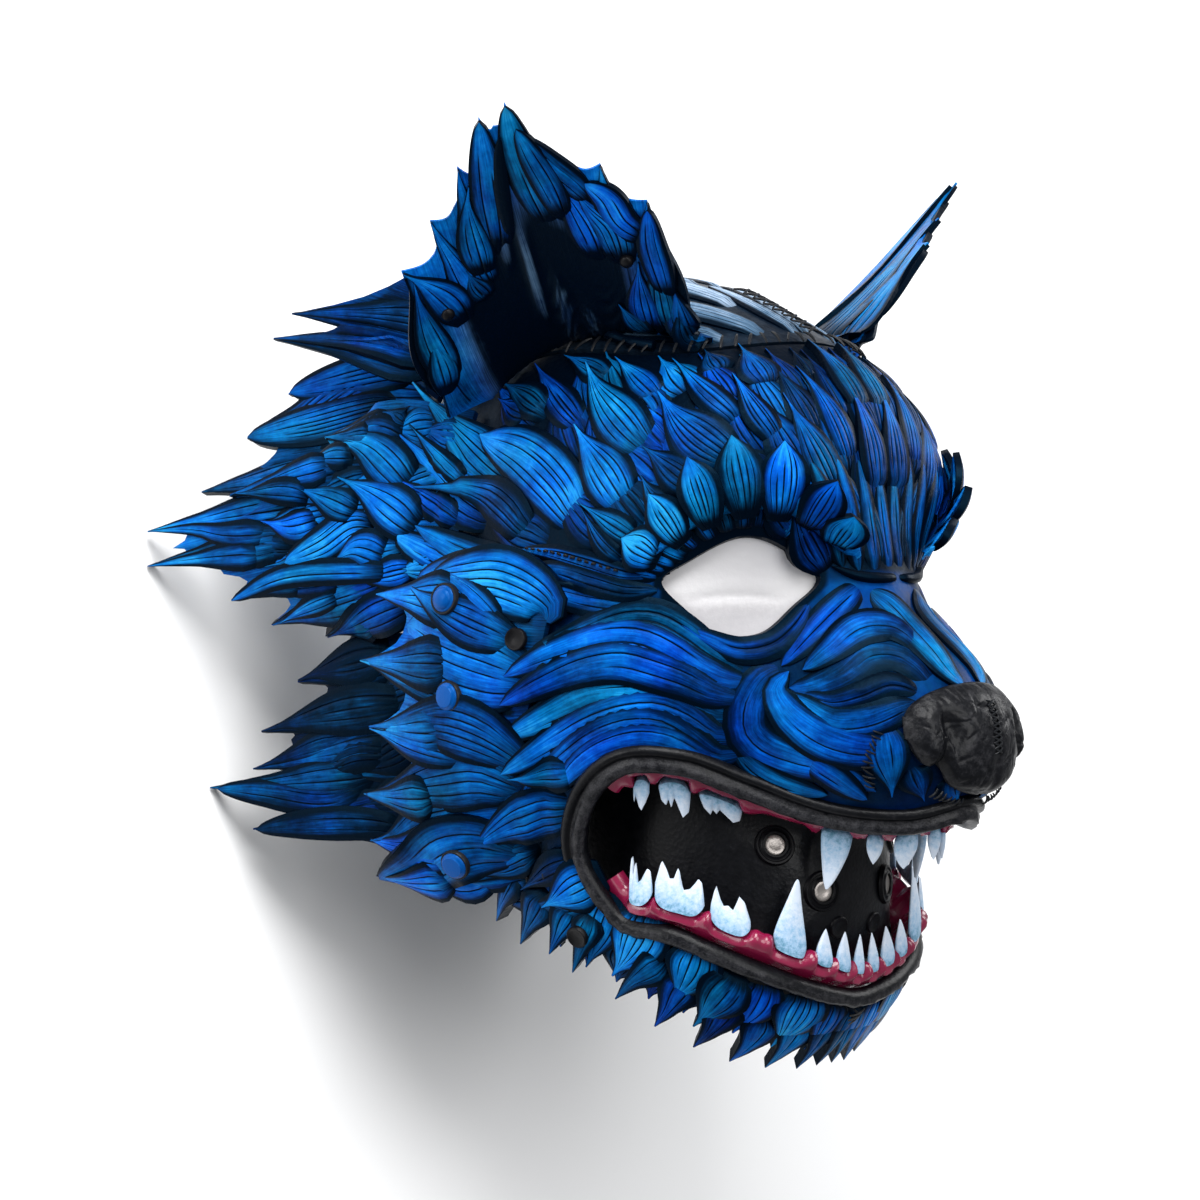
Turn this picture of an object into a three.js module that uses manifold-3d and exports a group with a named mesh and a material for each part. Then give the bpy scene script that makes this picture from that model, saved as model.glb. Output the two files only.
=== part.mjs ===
// Leather werewolf mask: a whole-head mask of carved, dyed hide, lying on its back, face up.
// Sizes are millimetres. The pieces are shaped in the head frame, +X to the wolf's right,
// +Y forward and +Z up, and one outer group then lays the finished head down.
import * as THREE from 'three';
import Module from 'manifold-3d';

const wasm = await Module();
wasm.setup();

// Driving sizes
const hide = 3.4;                 // thickness of the carved hide
const thin = 2.4;                 // thickness of the ears and tufts near their tips
const clearance = 0.4;            // air between two pieces that touch
const seamAngle = 0.5;            // degrees left free on each side of a seam
const columnStep = 8;             // degrees between the columns of the big shells
const scaleRise = 1.1;            // how far the carved fur scales stand out or in
const lipRadius = 5.4;             // rolled lip, half its width
const snapRadius = 6;
const snapHeight = 2.6;
const guardHalf = [68, 86];       // inner mouth guard, half width and half depth
const guardBack = 27;             // where the guard's oval is centred, forward

// The head's form: soft union of ellipsoids, each written for the right side and the middle
const headCentre = new THREE.Vector3(0, 0, -10);
const blend = 14;
const lumps = {
  skull: { at: [0, -12, 34], radii: [99, 116, 114] },
  brow: { at: [0, 62, 62], radii: [74, 57, 48] },
  browRidge: { at: [44, 80, 42], radii: [32, 28, 20] },
  cheek: { at: [58, 22, -42], radii: [52, 70, 72] },
  muzzle: { at: [0, 92, -52], radii: [54, 66, 42] },
  snout: { at: [0, 126, -58], radii: [35, 37, 31] },
  noseTip: { at: [0, 143, -62], radii: [26, 23, 23] },
  bridge: { at: [0, 104, -6], radii: [20, 22, 38] },
  jaw: { at: [0, 55, -140], radii: [76, 66, 56] },
  jowl: { at: [58, 10, -114], radii: [30, 40, 38] },
};

const materials = {
  blue: { color: 0x1546b8, roughness: 0.42, metalness: 0 },
  blueDark: { color: 0x12306e, roughness: 0.45, metalness: 0 },
  grey: { color: 0x5f7488, roughness: 0.5, metalness: 0 },
  black: { color: 0x0c0d11, roughness: 0.35, metalness: 0 },
  crimson: { color: 0x8c0f35, roughness: 0.35, metalness: 0 },
  tooth: { color: 0xd3e6f2, roughness: 0.4, metalness: 0 },
  white: { color: 0xf2f1f0, roughness: 0.55, metalness: 0 },
};

const v3 = (x, y, z) => new THREE.Vector3(x, y, z);
const lerp = THREE.MathUtils.lerp;

// The head's surface

function headDistance(point) {
  let sum = 0;
  for (const { at, radii } of Object.values(lumps)) {
    const x = (Math.abs(point.x) - at[0]) / radii[0];
    const y = (point.y - at[1]) / radii[1];
    const z = (point.z - at[2]) / radii[2];
    const reach = Math.hypot(x, y, z);
    const slope = Math.max(Math.hypot(x / radii[0], y / radii[1], z / radii[2]), 1e-9);
    sum += Math.exp((-reach * (reach - 1)) / slope / blend);
  }
  return -blend * Math.log(sum);
}

// Azimuth is counted from straight ahead towards the right, elevation upwards, in degrees
function direction(az, el) {
  const a = THREE.MathUtils.degToRad(az);
  const e = THREE.MathUtils.degToRad(el);
  return v3(Math.sin(a) * Math.cos(e), Math.cos(a) * Math.cos(e), Math.sin(e));
}

function headRadius(az, el) {
  const way = direction(az, el);
  const at = (r) => headDistance(way.clone().multiplyScalar(r).add(headCentre));
  let inside = 300;
  while (inside > 40 && at(inside) > 0) inside -= 4;
  let outside = inside + 4;
  for (let step = 0; step < 14; step += 1) {
    const middle = (inside + outside) / 2;
    if (at(middle) > 0) outside = middle;
    else inside = middle;
  }
  return inside;
}

function onHead(az, el, lift = 0) {
  return direction(az, el).multiplyScalar(headRadius(az, el) + lift).add(headCentre);
}

function anglesOf(point) {
  const p = point.clone().sub(headCentre);
  const az = THREE.MathUtils.radToDeg(Math.atan2(p.x, p.y));
  const el = THREE.MathUtils.radToDeg(Math.asin(p.z / p.length()));
  return [az, el, p.length()];
}

// Moves a point out to at least this far above the head
function seated(point, lift) {
  const [az, el, far] = anglesOf(point);
  const least = headRadius(az, el) + lift;
  if (far >= least) return point.clone();
  return point.clone().sub(headCentre).setLength(least).add(headCentre);
}

// Moves a point in until it is at least this deep under the head's surface
function nestled(point, depth) {
  const [az, el, far] = anglesOf(point);
  const most = headRadius(az, el) - depth;
  if (far <= most) return point.clone();
  return point.clone().sub(headCentre).setLength(most).add(headCentre);
}

// Closed solids

// Welds equal corners and drops triangles that have closed up
function closedGeometry(corners, triangles) {
  const places = new Map();
  const kept = [];
  const weld = corners.map((c) => {
    const key = [c.x, c.y, c.z].map((n) => Math.round(n * 1000)).join(' ');
    if (!places.has(key)) {
      places.set(key, kept.length);
      kept.push(c);
    }
    return places.get(key);
  });
  const index = [];
  for (const [a, b, c] of triangles) {
    const [p, q, r] = [weld[a], weld[b], weld[c]];
    if (p !== q && q !== r && r !== p) index.push(p, q, r);
  }
  const geometry = new THREE.BufferGeometry();
  geometry.setAttribute('position', new THREE.Float32BufferAttribute(kept.flatMap((c) => [c.x, c.y, c.z]), 3));
  geometry.setIndex(index);
  return geometry;
}

function signedVolume(geometry) {
  const p = geometry.attributes.position;
  const corner = (i) => new THREE.Vector3().fromBufferAttribute(p, geometry.index.getX(i));
  let sum = 0;
  for (let i = 0; i < geometry.index.count; i += 3) {
    sum += corner(i).dot(corner(i + 1).cross(corner(i + 2)));
  }
  return sum / 6;
}

function turnedOver(geometry) {
  const index = Array.from(geometry.index.array);
  for (let i = 0; i < index.length; i += 3) [index[i + 1], index[i + 2]] = [index[i + 2], index[i + 1]];
  geometry.setIndex(index);
  return geometry;
}

// Two grids of the same size, one for each face, joined round their edges
function slab(outer, inner, { loop = false } = {}) {
  const columns = outer.length;
  const rows = outer[0].length;
  const corners = [...outer.flat(), ...inner.flat()];
  const id = (side, i, j) => side * columns * rows + (i % columns) * rows + j;
  const triangles = [];
  const quad = (a, b, c, d) => triangles.push([a, b, c], [a, c, d]);
  const lastColumn = loop ? columns : columns - 1;
  for (let i = 0; i < lastColumn; i += 1) {
    for (let j = 0; j < rows - 1; j += 1) {
      quad(id(0, i, j), id(0, i + 1, j), id(0, i + 1, j + 1), id(0, i, j + 1));
      quad(id(1, i, j), id(1, i, j + 1), id(1, i + 1, j + 1), id(1, i + 1, j));
    }
    quad(id(0, i, 0), id(1, i, 0), id(1, i + 1, 0), id(0, i + 1, 0));
    const top = rows - 1;
    quad(id(0, i, top), id(0, i + 1, top), id(1, i + 1, top), id(1, i, top));
  }
  if (!loop) {
    const end = columns - 1;
    for (let j = 0; j < rows - 1; j += 1) {
      quad(id(0, 0, j), id(0, 0, j + 1), id(1, 0, j + 1), id(1, 0, j));
      quad(id(0, end, j), id(1, end, j), id(1, end, j + 1), id(0, end, j + 1));
    }
  }
  const geometry = closedGeometry(corners, triangles);
  return signedVolume(geometry) < 0 ? turnedOver(geometry) : geometry;
}

// A bent sheet: half of its thickness goes to each side of the grid of middle points, along
// directions evened out over the neighbouring columns, so that a jagged edge stays flat
function sheet(grid, thickness) {
  const lastColumn = grid.length - 1;
  const sideways = grid.map((column, i) => column.map((point, j) => {
    const [before, after] = [grid[Math.max(i - 2, 0)], grid[Math.min(i + 2, lastColumn)]];
    const along = column[Math.min(j + 1, column.length - 1)].clone().sub(column[Math.max(j - 1, 0)]);
    return after[j].clone().sub(before[j]).cross(along).normalize();
  }));
  const even = (i, j) => [i - 1, i, i + 1]
    .map((k) => sideways[THREE.MathUtils.clamp(k, 0, lastColumn)][j])
    .reduce((sum, way) => sum.add(way), v3(0, 0, 0))
    .normalize();
  const face = (sign) => grid.map((column, i) => column.map((point, j) => {
    const part = j === column.length - 1 ? 0.6 : 1;
    return point.clone().addScaledVector(even(i, j), (sign * thickness * part) / 2);
  }));
  return slab(face(1), face(-1));
}

// A shell that follows the head between two edges, each given as elevation for an azimuth
function headShell({ azimuths, low, high, rows, lift = 0, thickness = hide, relief = () => 0, loop = false }) {
  const face = (depth, carved) => azimuths.map((az, i) => {
    const column = [];
    for (let j = 0; j <= rows; j += 1) {
      const el = lerp(low(az, i), high(az, i), j / rows);
      column.push(onHead(az, el, lift - depth + (carved ? relief(az, el, i, j) : 0)));
    }
    return column;
  });
  return slab(face(0, true), face(thickness, false), { loop });
}

function evenly(from, to, count) {
  return Array.from({ length: count + 1 }, (_, i) => lerp(from, to, i / count));
}

// A smooth run through a few outline points, [azimuth, elevation], sampled by azimuth
function edgeThrough(points) {
  const line = new THREE.SplineCurve(points.map(([a, e]) => new THREE.Vector2(a, e)));
  const samples = line.getPoints(90);
  return (az) => {
    const side = Math.abs(az);
    const next = samples.findIndex((s) => s.x >= side);
    if (next < 0) return samples[samples.length - 1].y;
    if (next === 0) return samples[0].y;
    const [a, b] = [samples[next - 1], samples[next]];
    return lerp(a.y, b.y, (side - a.x) / (b.x - a.x));
  };
}

// Cuts

function asManifold(geometry) {
  const mesh = new wasm.Mesh({
    numProp: 3,
    vertProperties: new Float32Array(geometry.attributes.position.array),
    triVerts: new Uint32Array(geometry.index.array),
  });
  return new wasm.Manifold(mesh);
}

function cutBy(geometry, ...cutters) {
  let solid = asManifold(geometry);
  for (const cutter of cutters) solid = solid.subtract(asManifold(cutter));
  const mesh = solid.getMesh();
  const result = new THREE.BufferGeometry();
  result.setAttribute('position', new THREE.Float32BufferAttribute(mesh.vertProperties, 3));
  result.setIndex(Array.from(mesh.triVerts));
  return result;
}

// A plug that fills an outline of [azimuth, elevation] points from one radius out to another
function radialPlug(outline, from, to) {
  const near = outline.map(([az, el]) => direction(az, el).multiplyScalar(from).add(headCentre));
  const far = outline.map(([az, el]) => direction(az, el).multiplyScalar(to).add(headCentre));
  const count = outline.length;
  const flat = outline.map(([a, e]) => new THREE.Vector2(a, e));
  const turn = Math.sign(THREE.ShapeUtils.area(flat));
  const triangles = [];
  for (const cap of THREE.ShapeUtils.triangulateShape(flat, [])) {
    const facing = Math.sign(THREE.ShapeUtils.area(cap.map((k) => flat[k])));
    const [a, b, c] = facing === turn ? cap : [...cap].reverse();
    triangles.push([a, b, c], [a + count, c + count, b + count]);
  }
  for (let i = 0; i < count; i += 1) {
    const k = (i + 1) % count;
    triangles.push([i, i + count, k + count], [i, k + count, k]);
  }
  const geometry = closedGeometry([...near, ...far], triangles);
  return signedVolume(geometry) < 0 ? turnedOver(geometry) : geometry;
}

// The mouth and the eyes, as outlines on the head

const lipPoints = [
  [0, -24.5], [9, -28], [21, -31], [32, -30], [45, -26], [57, -26],
  [66, -33], [70, -44], [61, -52], [45, -51.5], [30, -52.5], [15, -54.5], [0, -56],
];
const leftLipPoints = lipPoints.slice(1, -1).reverse().map(([a, e]) => [-a, e]);
const lipLine = new THREE.CatmullRomCurve3(
  [...lipPoints, ...leftLipPoints].map(([a, e]) => v3(a, e, 0)),
  true,
);

// Frame on the mouth's rim: a place, the way out of the mouth along the skin, and the way off the skin
function lipFrame(t) {
  const at = lipLine.getPointAt(t);
  const place = onHead(at.x, at.y);
  const step = 0.004;
  const before = lipLine.getPointAt((t - step + 1) % 1);
  const after = lipLine.getPointAt((t + step) % 1);
  const along = onHead(after.x, after.y).sub(onHead(before.x, before.y)).normalize();
  const off = direction(at.x, at.y);
  const out = along.clone().cross(off).normalize();
  return { place, out, off: out.clone().cross(along).normalize() };
}

function lipPoint(t, outward, lift) {
  const { place, out, off } = lipFrame(t);
  return place.clone().addScaledVector(out, outward).addScaledVector(off, lift);
}

// The outline on the head at this distance outside the lip line
function lipOutline(count, outward) {
  return evenly(0, 1, count).slice(1).map((t) => anglesOf(lipPoint(t % 1, outward, 0)).slice(0, 2));
}

function mouthPlug() {
  return radialPlug(lipOutline(38, lipRadius + 3 * clearance), 60, 260);
}

const eyePoints = [
  [49, 9], [43, 13], [33, 16.5], [24, 14.5], [16, 9], [21, 3.5], [28, -2], [37, -2], [44, 3],
];

function eyeOutline(side, count = 18) {
  const line = new THREE.CatmullRomCurve3(eyePoints.map(([a, e]) => v3(a * side, e, 0)), true);
  return line.getPoints(count).slice(0, count).map((p) => [p.x, p.y]);
}

// Face, crown, jaw and neck

const hairline = edgeThrough([[0, 54], [38, 53.5], [75, 58], [95, 57], [112, 50]]);
const faceBack = 112;
const jawBack = 104;
const jawSeam = edgeThrough([[0, -42], [66, -42], [76, -46], [90, -50], [jawBack, -49], [faceBack, -46]]);

// Carved fur: neighbouring grid corners stand out and in by turns, which reads as scales
function scales(strength = 1) {
  return (az, el, i, j) => ((i + j) % 2 === 0 ? 1 : -1) * scaleRise * strength;
}

function makeFace() {
  const shell = headShell({
    azimuths: evenly(-faceBack, faceBack, (2 * faceBack) / columnStep),
    low: (az) => jawSeam(az) + seamAngle,
    high: (az) => hairline(az) - seamAngle,
    rows: 9,
    relief: scales(),
  });
  const mouth = mouthPlug();
  const eyes = [1, -1].map((side) => radialPlug(eyeOutline(side), 60, 260));
  return cutBy(shell, mouth, ...eyes);
}

function makeCrown() {
  const nape = -8;
  const low = (az) => {
    const side = Math.abs(az > 180 ? az - 360 : az);
    if (side <= faceBack) return hairline(side) + seamAngle;
    return lerp(hairline(faceBack) + seamAngle, nape, Math.min((side - faceBack) / 8, 1));
  };
  const locks = (az, el, i) => (i % 2 === 0 ? 0.8 : -0.8) * Math.cos(THREE.MathUtils.degToRad(el));
  return headShell({
    azimuths: evenly(0, 360, 360 / columnStep).slice(0, -1),
    low,
    high: () => 90,
    rows: 4,
    relief: locks,
    loop: true,
  });
}

// The jaw hangs a little off the head at its lower edge, which ends in a fringe of points
function makeJaw() {
  const [point, notch] = [13, 5];
  const edge = edgeThrough([[0, -59.5], [40, -60], [60, -59.5], [80, -57], [jawBack, -51]]);
  const low = (az, i) => edge(az) - (i % 2 === 1 ? 4 : 0);
  const flare = (az, el, i, j) => {
    if (j === 0) return i % 2 === 1 ? point : notch;
    return scales()(az, el, i, j);
  };
  const shell = headShell({
    azimuths: evenly(-jawBack, jawBack, (4 * jawBack) / columnStep),
    low,
    high: (az) => jawSeam(az) - seamAngle,
    rows: 3,
    relief: flare,
  });
  return cutBy(shell, mouthPlug());
}

function makeNeckPanel() {
  return headShell({
    azimuths: evenly(128, 232, 104 / columnStep),
    low: () => -50,
    high: () => -8 - 2 * seamAngle,
    rows: 2,
    relief: (az, el, i) => (i % 2 === 0 ? 0.5 : -0.5),
  });
}

// Lip, gums, guard and teeth

// A closed band that runs round a loop of frames, with the given section in each
function loopBand(count, cornersAt) {
  const rings = Array.from({ length: count }, (_, i) => cornersAt(i / count));
  const sides = rings[0].length;
  const triangles = [];
  for (let i = 0; i < count; i += 1) {
    for (let j = 0; j < sides; j += 1) {
      const [a, b] = [i * sides + j, i * sides + ((j + 1) % sides)];
      const next = ((i + 1) % count) * sides;
      const [c, d] = [next + ((j + 1) % sides), next + j];
      triangles.push([a, b, c], [a, c, d]);
    }
  }
  const geometry = closedGeometry(rings.flat(), triangles);
  return signedVolume(geometry) < 0 ? turnedOver(geometry) : geometry;
}

// The same band with two flat ends
function openBand(rings) {
  const sides = rings[0].length;
  const triangles = [];
  for (let i = 0; i < rings.length - 1; i += 1) {
    for (let j = 0; j < sides; j += 1) {
      const [a, b] = [i * sides + j, i * sides + ((j + 1) % sides)];
      triangles.push([a, b, b + sides], [a, b + sides, a + sides]);
    }
  }
  const last = (rings.length - 1) * sides;
  for (let j = 1; j < sides - 1; j += 1) {
    triangles.push([0, j + 1, j], [last, last + j, last + j + 1]);
  }
  const geometry = closedGeometry(rings.flat(), triangles);
  return signedVolume(geometry) < 0 ? turnedOver(geometry) : geometry;
}

function makeLip() {
  const section = [[-0.8, -0.5], [0.8, -0.5], [1, 0.3], [0.3, 0.6], [-0.4, 1], [-1, 0.2]];
  return loopBand(40, (t) => section.map(([x, y]) => lipPoint(t, x * lipRadius, 1 + y * lipRadius)));
}

// The gums follow the rim a little inside it, from one mouth corner to the other
const gumEdge = 12;
const gumSpan = 0.215;
const upperMiddle = 0;
const lowerMiddle = 0.5;

function makeGum(middle) {
  const section = [[-6.4, -2.6], [-6.4, -9.4], [-gumEdge + 1, -9.8], [-gumEdge, -7], [-gumEdge + 1, -3.4]];
  const rings = evenly(-gumSpan, gumSpan, 19).map((step) => {
    const t = (middle + step + 1) % 1;
    return section.map(([outward, lift]) => lipPoint(t, outward, lift));
  });
  return openBand(rings);
}

// The place along the lip line, between its middle and the corner, that has this azimuth
function lipPlace(az, middle) {
  const way = middle === upperMiddle ? 1 : -1;
  let nearest = 0;
  let least = Infinity;
  for (let step = 0; step <= gumSpan; step += 0.001) {
    const miss = Math.abs(lipLine.getPointAt(middle + way * step).x - az);
    if (miss < least) {
      least = miss;
      nearest = step;
    }
  }
  return middle + way * nearest;
}

// Teeth of the right side, from the middle to the mouth corner; sizes are length and width
const upperTeeth = {
  incisor_inner: { az: 3.6, length: 14, width: 9, cusps: 1 },
  incisor_middle: { az: 7.6, length: 15, width: 10, cusps: 1 },
  incisor_outer: { az: 11.6, length: 13, width: 8, cusps: 1 },
  canine: { az: 16.5, length: 26, width: 13, cusps: 1 },
  molar_front: { az: 34, length: 9, width: 17, cusps: 2 },
  molar_middle: { az: 44.5, length: 15, width: 19, cusps: 3 },
  molar_back: { az: 55.5, length: 14, width: 15, cusps: 3 },
};
const lowerTeeth = {
  incisor_inner: { az: 3.4, length: 15, width: 9, cusps: 1 },
  incisor_middle: { az: 9.4, length: 15, width: 10, cusps: 1 },
  incisor_outer: { az: 15.2, length: 14, width: 10, cusps: 1 },
  canine: { az: 24, length: 31, width: 17, cusps: 1 },
  molar_front: { az: 36.5, length: 15, width: 17, cusps: 2 },
  molar_middle: { az: 46, length: 18, width: 17, cusps: 3 },
  molar_back: { az: 55, length: 17, width: 16, cusps: 3 },
};

// A tooth starts on the gum's edge, follows its curve there and points straight across the mouth
function makeTooth({ az, length, width, cusps }, middle) {
  const t = lipPlace(az, middle);
  const across = 0.01;
  const perMillimetre = across / lipPoint(t + across, 0, 0).distanceTo(lipPoint(t, 0, 0));
  const onward = v3(0, 0, middle === upperMiddle ? -1 : 1);
  const depth = Math.min(width * 0.5, 5.6);
  const foot = (x, deep) => lipPoint(t + x * perMillimetre, -gumEdge - clearance - 0.4, deep - 6);
  const place = (x, deep, spread, far) => {
    const root = foot(0, 0);
    const wide = foot(x, deep).sub(root).multiplyScalar(spread);
    return root.add(wide).addScaledVector(onward, far);
  };
  if (cusps === 1) {
    const ring = (spread, far) => Array.from({ length: 6 }, (_, k) => {
      const turn = (k / 6) * Math.PI * 2;
      return place((Math.cos(turn) * width) / 2, (Math.sin(turn) * depth) / 2, spread, far);
    });
    return openBand([ring(0.9, 0), ring(1, length * 0.25), ring(0.7, length * 0.65), ring(0.15, length)]);
  }
  // A molar's edge rises and falls across its width
  const face = (side) => evenly(-0.5, 0.5, cusps * 2).map((x, k) => {
    const tip = k % 2 === 1 ? length : length * 0.66;
    return [0, 0.55, 1].map((h) => place(x * width, side * (depth / 2) * (1 - 0.7 * h * h), 1, h * tip));
  });
  return slab(face(1), face(-1));
}

// Ears, manes and tufts: sheets between a root line and a jagged outer edge

// Rows run from the root to the edge points; the middle of each column lifts off by the bow
function fanGrid({ roots, ends, rows, lift, bow }) {
  const rootLine = new THREE.CatmullRomCurve3(roots.map(([az, el]) => v3(az, el, 0)));
  return ends.map((end, i) => {
    const at = rootLine.getPoint(i / (ends.length - 1));
    const root = onHead(at.x, at.y, lift);
    const tip = v3(...end);
    const outward = root.clone().add(tip).multiplyScalar(0.5).sub(headCentre).normalize();
    return evenly(0, 1, rows).map((s) => {
      const point = root.clone().lerp(tip, s).addScaledVector(outward, bow * Math.sin(Math.PI * s));
      return seated(point, lift);
    });
  });
}

function fan(spec) {
  return sheet(fanGrid(spec), spec.thickness ?? hide);
}

const overFace = hide / 2 + scaleRise + clearance + 0.6;

const maneUpper = {
  roots: [[108, 44], [106, 30], [105, 16], [105, 1]],
  ends: [
    [112, -74, 88], [121, -96, 72], [126, -104, 60], [140, -140, 47], [139, -134, 38], [150, -187, 32],
    [148, -173, 24], [150, -187, 16], [140, -146, 12], [135, -145, 1], [130, -119, 3], [123, -131, -10],
    [118, -108, -6], [115, -104, -14], [110, -76, -4],
  ],
  rows: 3,
  lift: overFace,
  bow: 5,
};

const maneBack = {
  roots: [[140, 48], [136, 41], [132, 34], [128, 27]],
  ends: [
    [82, -112, 118], [100, -146, 96], [99, -138, 88], [112, -161, 75], [110, -145, 68], [122, -182, 50],
    [115, -140, 50], [106, -112, 50],
  ],
  rows: 3,
  lift: overFace,
  bow: 4,
};

const maneLower = {
  roots: [[115, -3], [111, -18], [109, -34], [104, -44]],
  ends: [
    [106, -94, -14], [118, -118, -38], [114, -104, -42], [124, -136, -61], [120, -122, -64], [127, -139, -78],
    [121, -122, -82], [135, -160, -87], [119, -114, -98], [128, -138, -105], [112, -92, -108], [104, -70, -114],
  ],
  rows: 3,
  lift: overFace,
  bow: 3,
};

const cheekPlate = {
  roots: [[72, 9], [75, -8], [80, -26], [84, -42], [88, -49]],
  ends: [
    [117, -38, 9], [122, -60, 2], [117, -48, -10], [124, -68, -27], [117, -48, -40], [124, -62, -56],
    [116, -44, -70], [122, -68, -86], [117, -50, -92], [120, -66, -106], [113, -46, -108], [114, -70, -121],
    [103, -34, -116],
  ],
  rows: 4,
  lift: overFace,
  bow: 7,
};

const browTuft = {
  roots: [[53, 12], [41, 18.5], [26, 19.5], [12, 13]],
  ends: [
    [90, 62, 14], [93, 60, 25], [88, 70, 26], [90, 72, 43], [83, 84, 36], [84, 88, 58],
    [76, 98, 48], [74, 103, 68], [66, 110, 50], [60, 120, 66], [54, 124, 44], [46, 137, 50],
    [42, 128, 34], [36, 137, 36], [22, 130, 18],
  ],
  rows: 2,
  lift: overFace,
  bow: 2,
  thickness: thin,
};

const earTuft = {
  roots: [[115, 58], [118, 52], [121, 46]],
  ends: [[98, -66, 147], [110, -132, 133], [106, -104, 126], [112, -143, 121], [100, -78, 120], [94, -66, 118]],
  rows: 3,
  lift: overFace,
  bow: 5,
  thickness: thin,
};

// Where the press studs sit on the cheek plate, as grid column and row
const snapCorners = { top: [1, 2], middle: [4, 2], low: [10, 2] };

// The ear: its own flat frame from the outer base corner to the inner one and up to the tip
const earOuter = v3(118, -26, 92);
const earInner = v3(54, 69, 107);
const earTip = v3(156, 51, 203);
const earCup = 22;
const earEdge = [
  [-58, 0], [-57, 30], [-61, 60], [-46, 64], [-44, 80], [-33, 84], [-27, 103], [-20, 100], [-13, 124],
  [-8, 119], [-1, 129], [6, 112], [20, 96], [32, 94], [34, 82], [48, 74], [48, 52], [52, 30], [57, 0],
];

function makeEar() {
  const across = earInner.clone().sub(earOuter).normalize();
  const front = across.clone().cross(earTip.clone().sub(earOuter)).normalize();
  const up = front.clone().cross(across);
  const middle = earOuter.clone().add(earInner).multiplyScalar(0.5);
  const half = 60;
  const height = 129;
  const grid = earEdge.map(([edgeP, edgeQ], i) => {
    const footP = lerp(-half + 2, half - 3, i / (earEdge.length - 1));
    return evenly(0, 1, 4).map((s) => {
      const p = lerp(footP, edgeP, Math.sqrt(s));
      const q = lerp(-16, edgeQ, s);
      const cup = earCup * (1 - (p / half) ** 2) * Math.max(1 - q / height, 0) ** 1.5;
      const point = middle.clone()
        .addScaledVector(across, p)
        .addScaledVector(up, q)
        .addScaledVector(front, -cup);
      return seated(point, overFace);
    });
  });
  return sheet(grid, thin);
}

// Nose, eye blanks, guard and fastenings

function makeNose() {
  const wide = 12.5;
  const noseColumns = 8;
  const noseRows = 4;
  const nosePad = 7.5;
  const outline = (az) => Math.sqrt(Math.max(1 - (az / wide) ** 2, 0.04));
  const pad = headShell({
    azimuths: evenly(-wide, wide, noseColumns),
    low: (az) => -14 - 8 * outline(az),
    high: (az) => -14 + 6 * outline(az),
    rows: noseRows,
    lift: nosePad,
    thickness: nosePad - scaleRise - clearance - 0.4,
    relief: (az, el, i, j) => (j % noseRows === 0 || i % noseColumns === 0 ? -nosePad / 2 : 0),
  });
  const nostrils = [1, -1].map((side) => {
    const pocket = new THREE.SphereGeometry(1, 6, 4);
    pocket.scale(5.5, 9, 6.5);
    pocket.rotateZ(-side * 0.5);
    const at = onHead(side * 7.2, -14.5, nosePad);
    pocket.translate(at.x, at.y, at.z);
    return closedFrom(pocket);
  });
  return cutBy(pad, ...nostrils);
}

// Welds a ready-made geometry so that it is one closed body
function closedFrom(source) {
  const plain = source.index ? source.toNonIndexed() : source;
  const p = plain.attributes.position;
  const corners = Array.from({ length: p.count }, (_, i) => v3(p.getX(i), p.getY(i), p.getZ(i)));
  const triangles = Array.from({ length: p.count / 3 }, (_, i) => [i * 3, i * 3 + 1, i * 3 + 2]);
  return closedGeometry(corners, triangles);
}

function makeEyeBlank() {
  const [inner, outer] = [12.5, 52.5];
  const opened = (az) => Math.sin((Math.PI * (az - inner)) / (outer - inner)) ** 0.75;
  return headShell({
    azimuths: evenly(inner, outer, 6),
    low: (az) => 7.5 - 13 * opened(az),
    high: (az) => 9.5 + 10 * opened(az),
    rows: 3,
    lift: -hide - clearance - 2.4,
    thickness: 1.6,
  });
}

function makeGuard() {
  const [halfWide, halfDeep] = guardHalf;
  const behindGums = 15;
  const grid = evenly(-105, 105, 14).map((a) => {
    const angle = THREE.MathUtils.degToRad(a);
    const x = halfWide * Math.sin(angle);
    const y = guardBack + halfDeep * Math.cos(angle);
    return evenly(-168, -84, 3).map((z) => nestled(v3(x, y, z), behindGums));
  });
  return sheet(grid, 3);
}

// A press-stud cap that lies on a sheet, at one of the corners of its grid
function makeSnap(grid, [i, j]) {
  const place = grid[i][j];
  const side = grid[i + 1][j].clone().sub(grid[i - 1][j]);
  const onward = grid[i][j + 1].clone().sub(grid[i][j - 1]);
  const up = side.cross(onward).normalize();
  if (up.dot(place) < 0) up.negate();
  const cap = new THREE.CylinderGeometry(snapRadius * 0.7, snapRadius, snapHeight, 10);
  cap.applyQuaternion(new THREE.Quaternion().setFromUnitVectors(v3(0, 1, 0), up));
  const centre = place.clone().addScaledVector(up, hide / 2 + 1.5 + snapHeight / 2);
  cap.translate(centre.x, centre.y, centre.z);
  return closedFrom(cap);
}

// Assembly

const head = new THREE.Group();

function add(name, geometry, slot) {
  const mesh = new THREE.Mesh(geometry, new THREE.MeshStandardMaterial(materials[slot]));
  mesh.name = name;
  head.add(mesh);
}

function mirrored(geometry) {
  const copy = geometry.clone();
  copy.scale(-1, 1, 1);
  return turnedOver(copy);
}

function addPair(name, geometry, slot) {
  add(`${name}_right`, geometry, slot);
  add(`${name}_left`, mirrored(geometry), slot);
}

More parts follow.
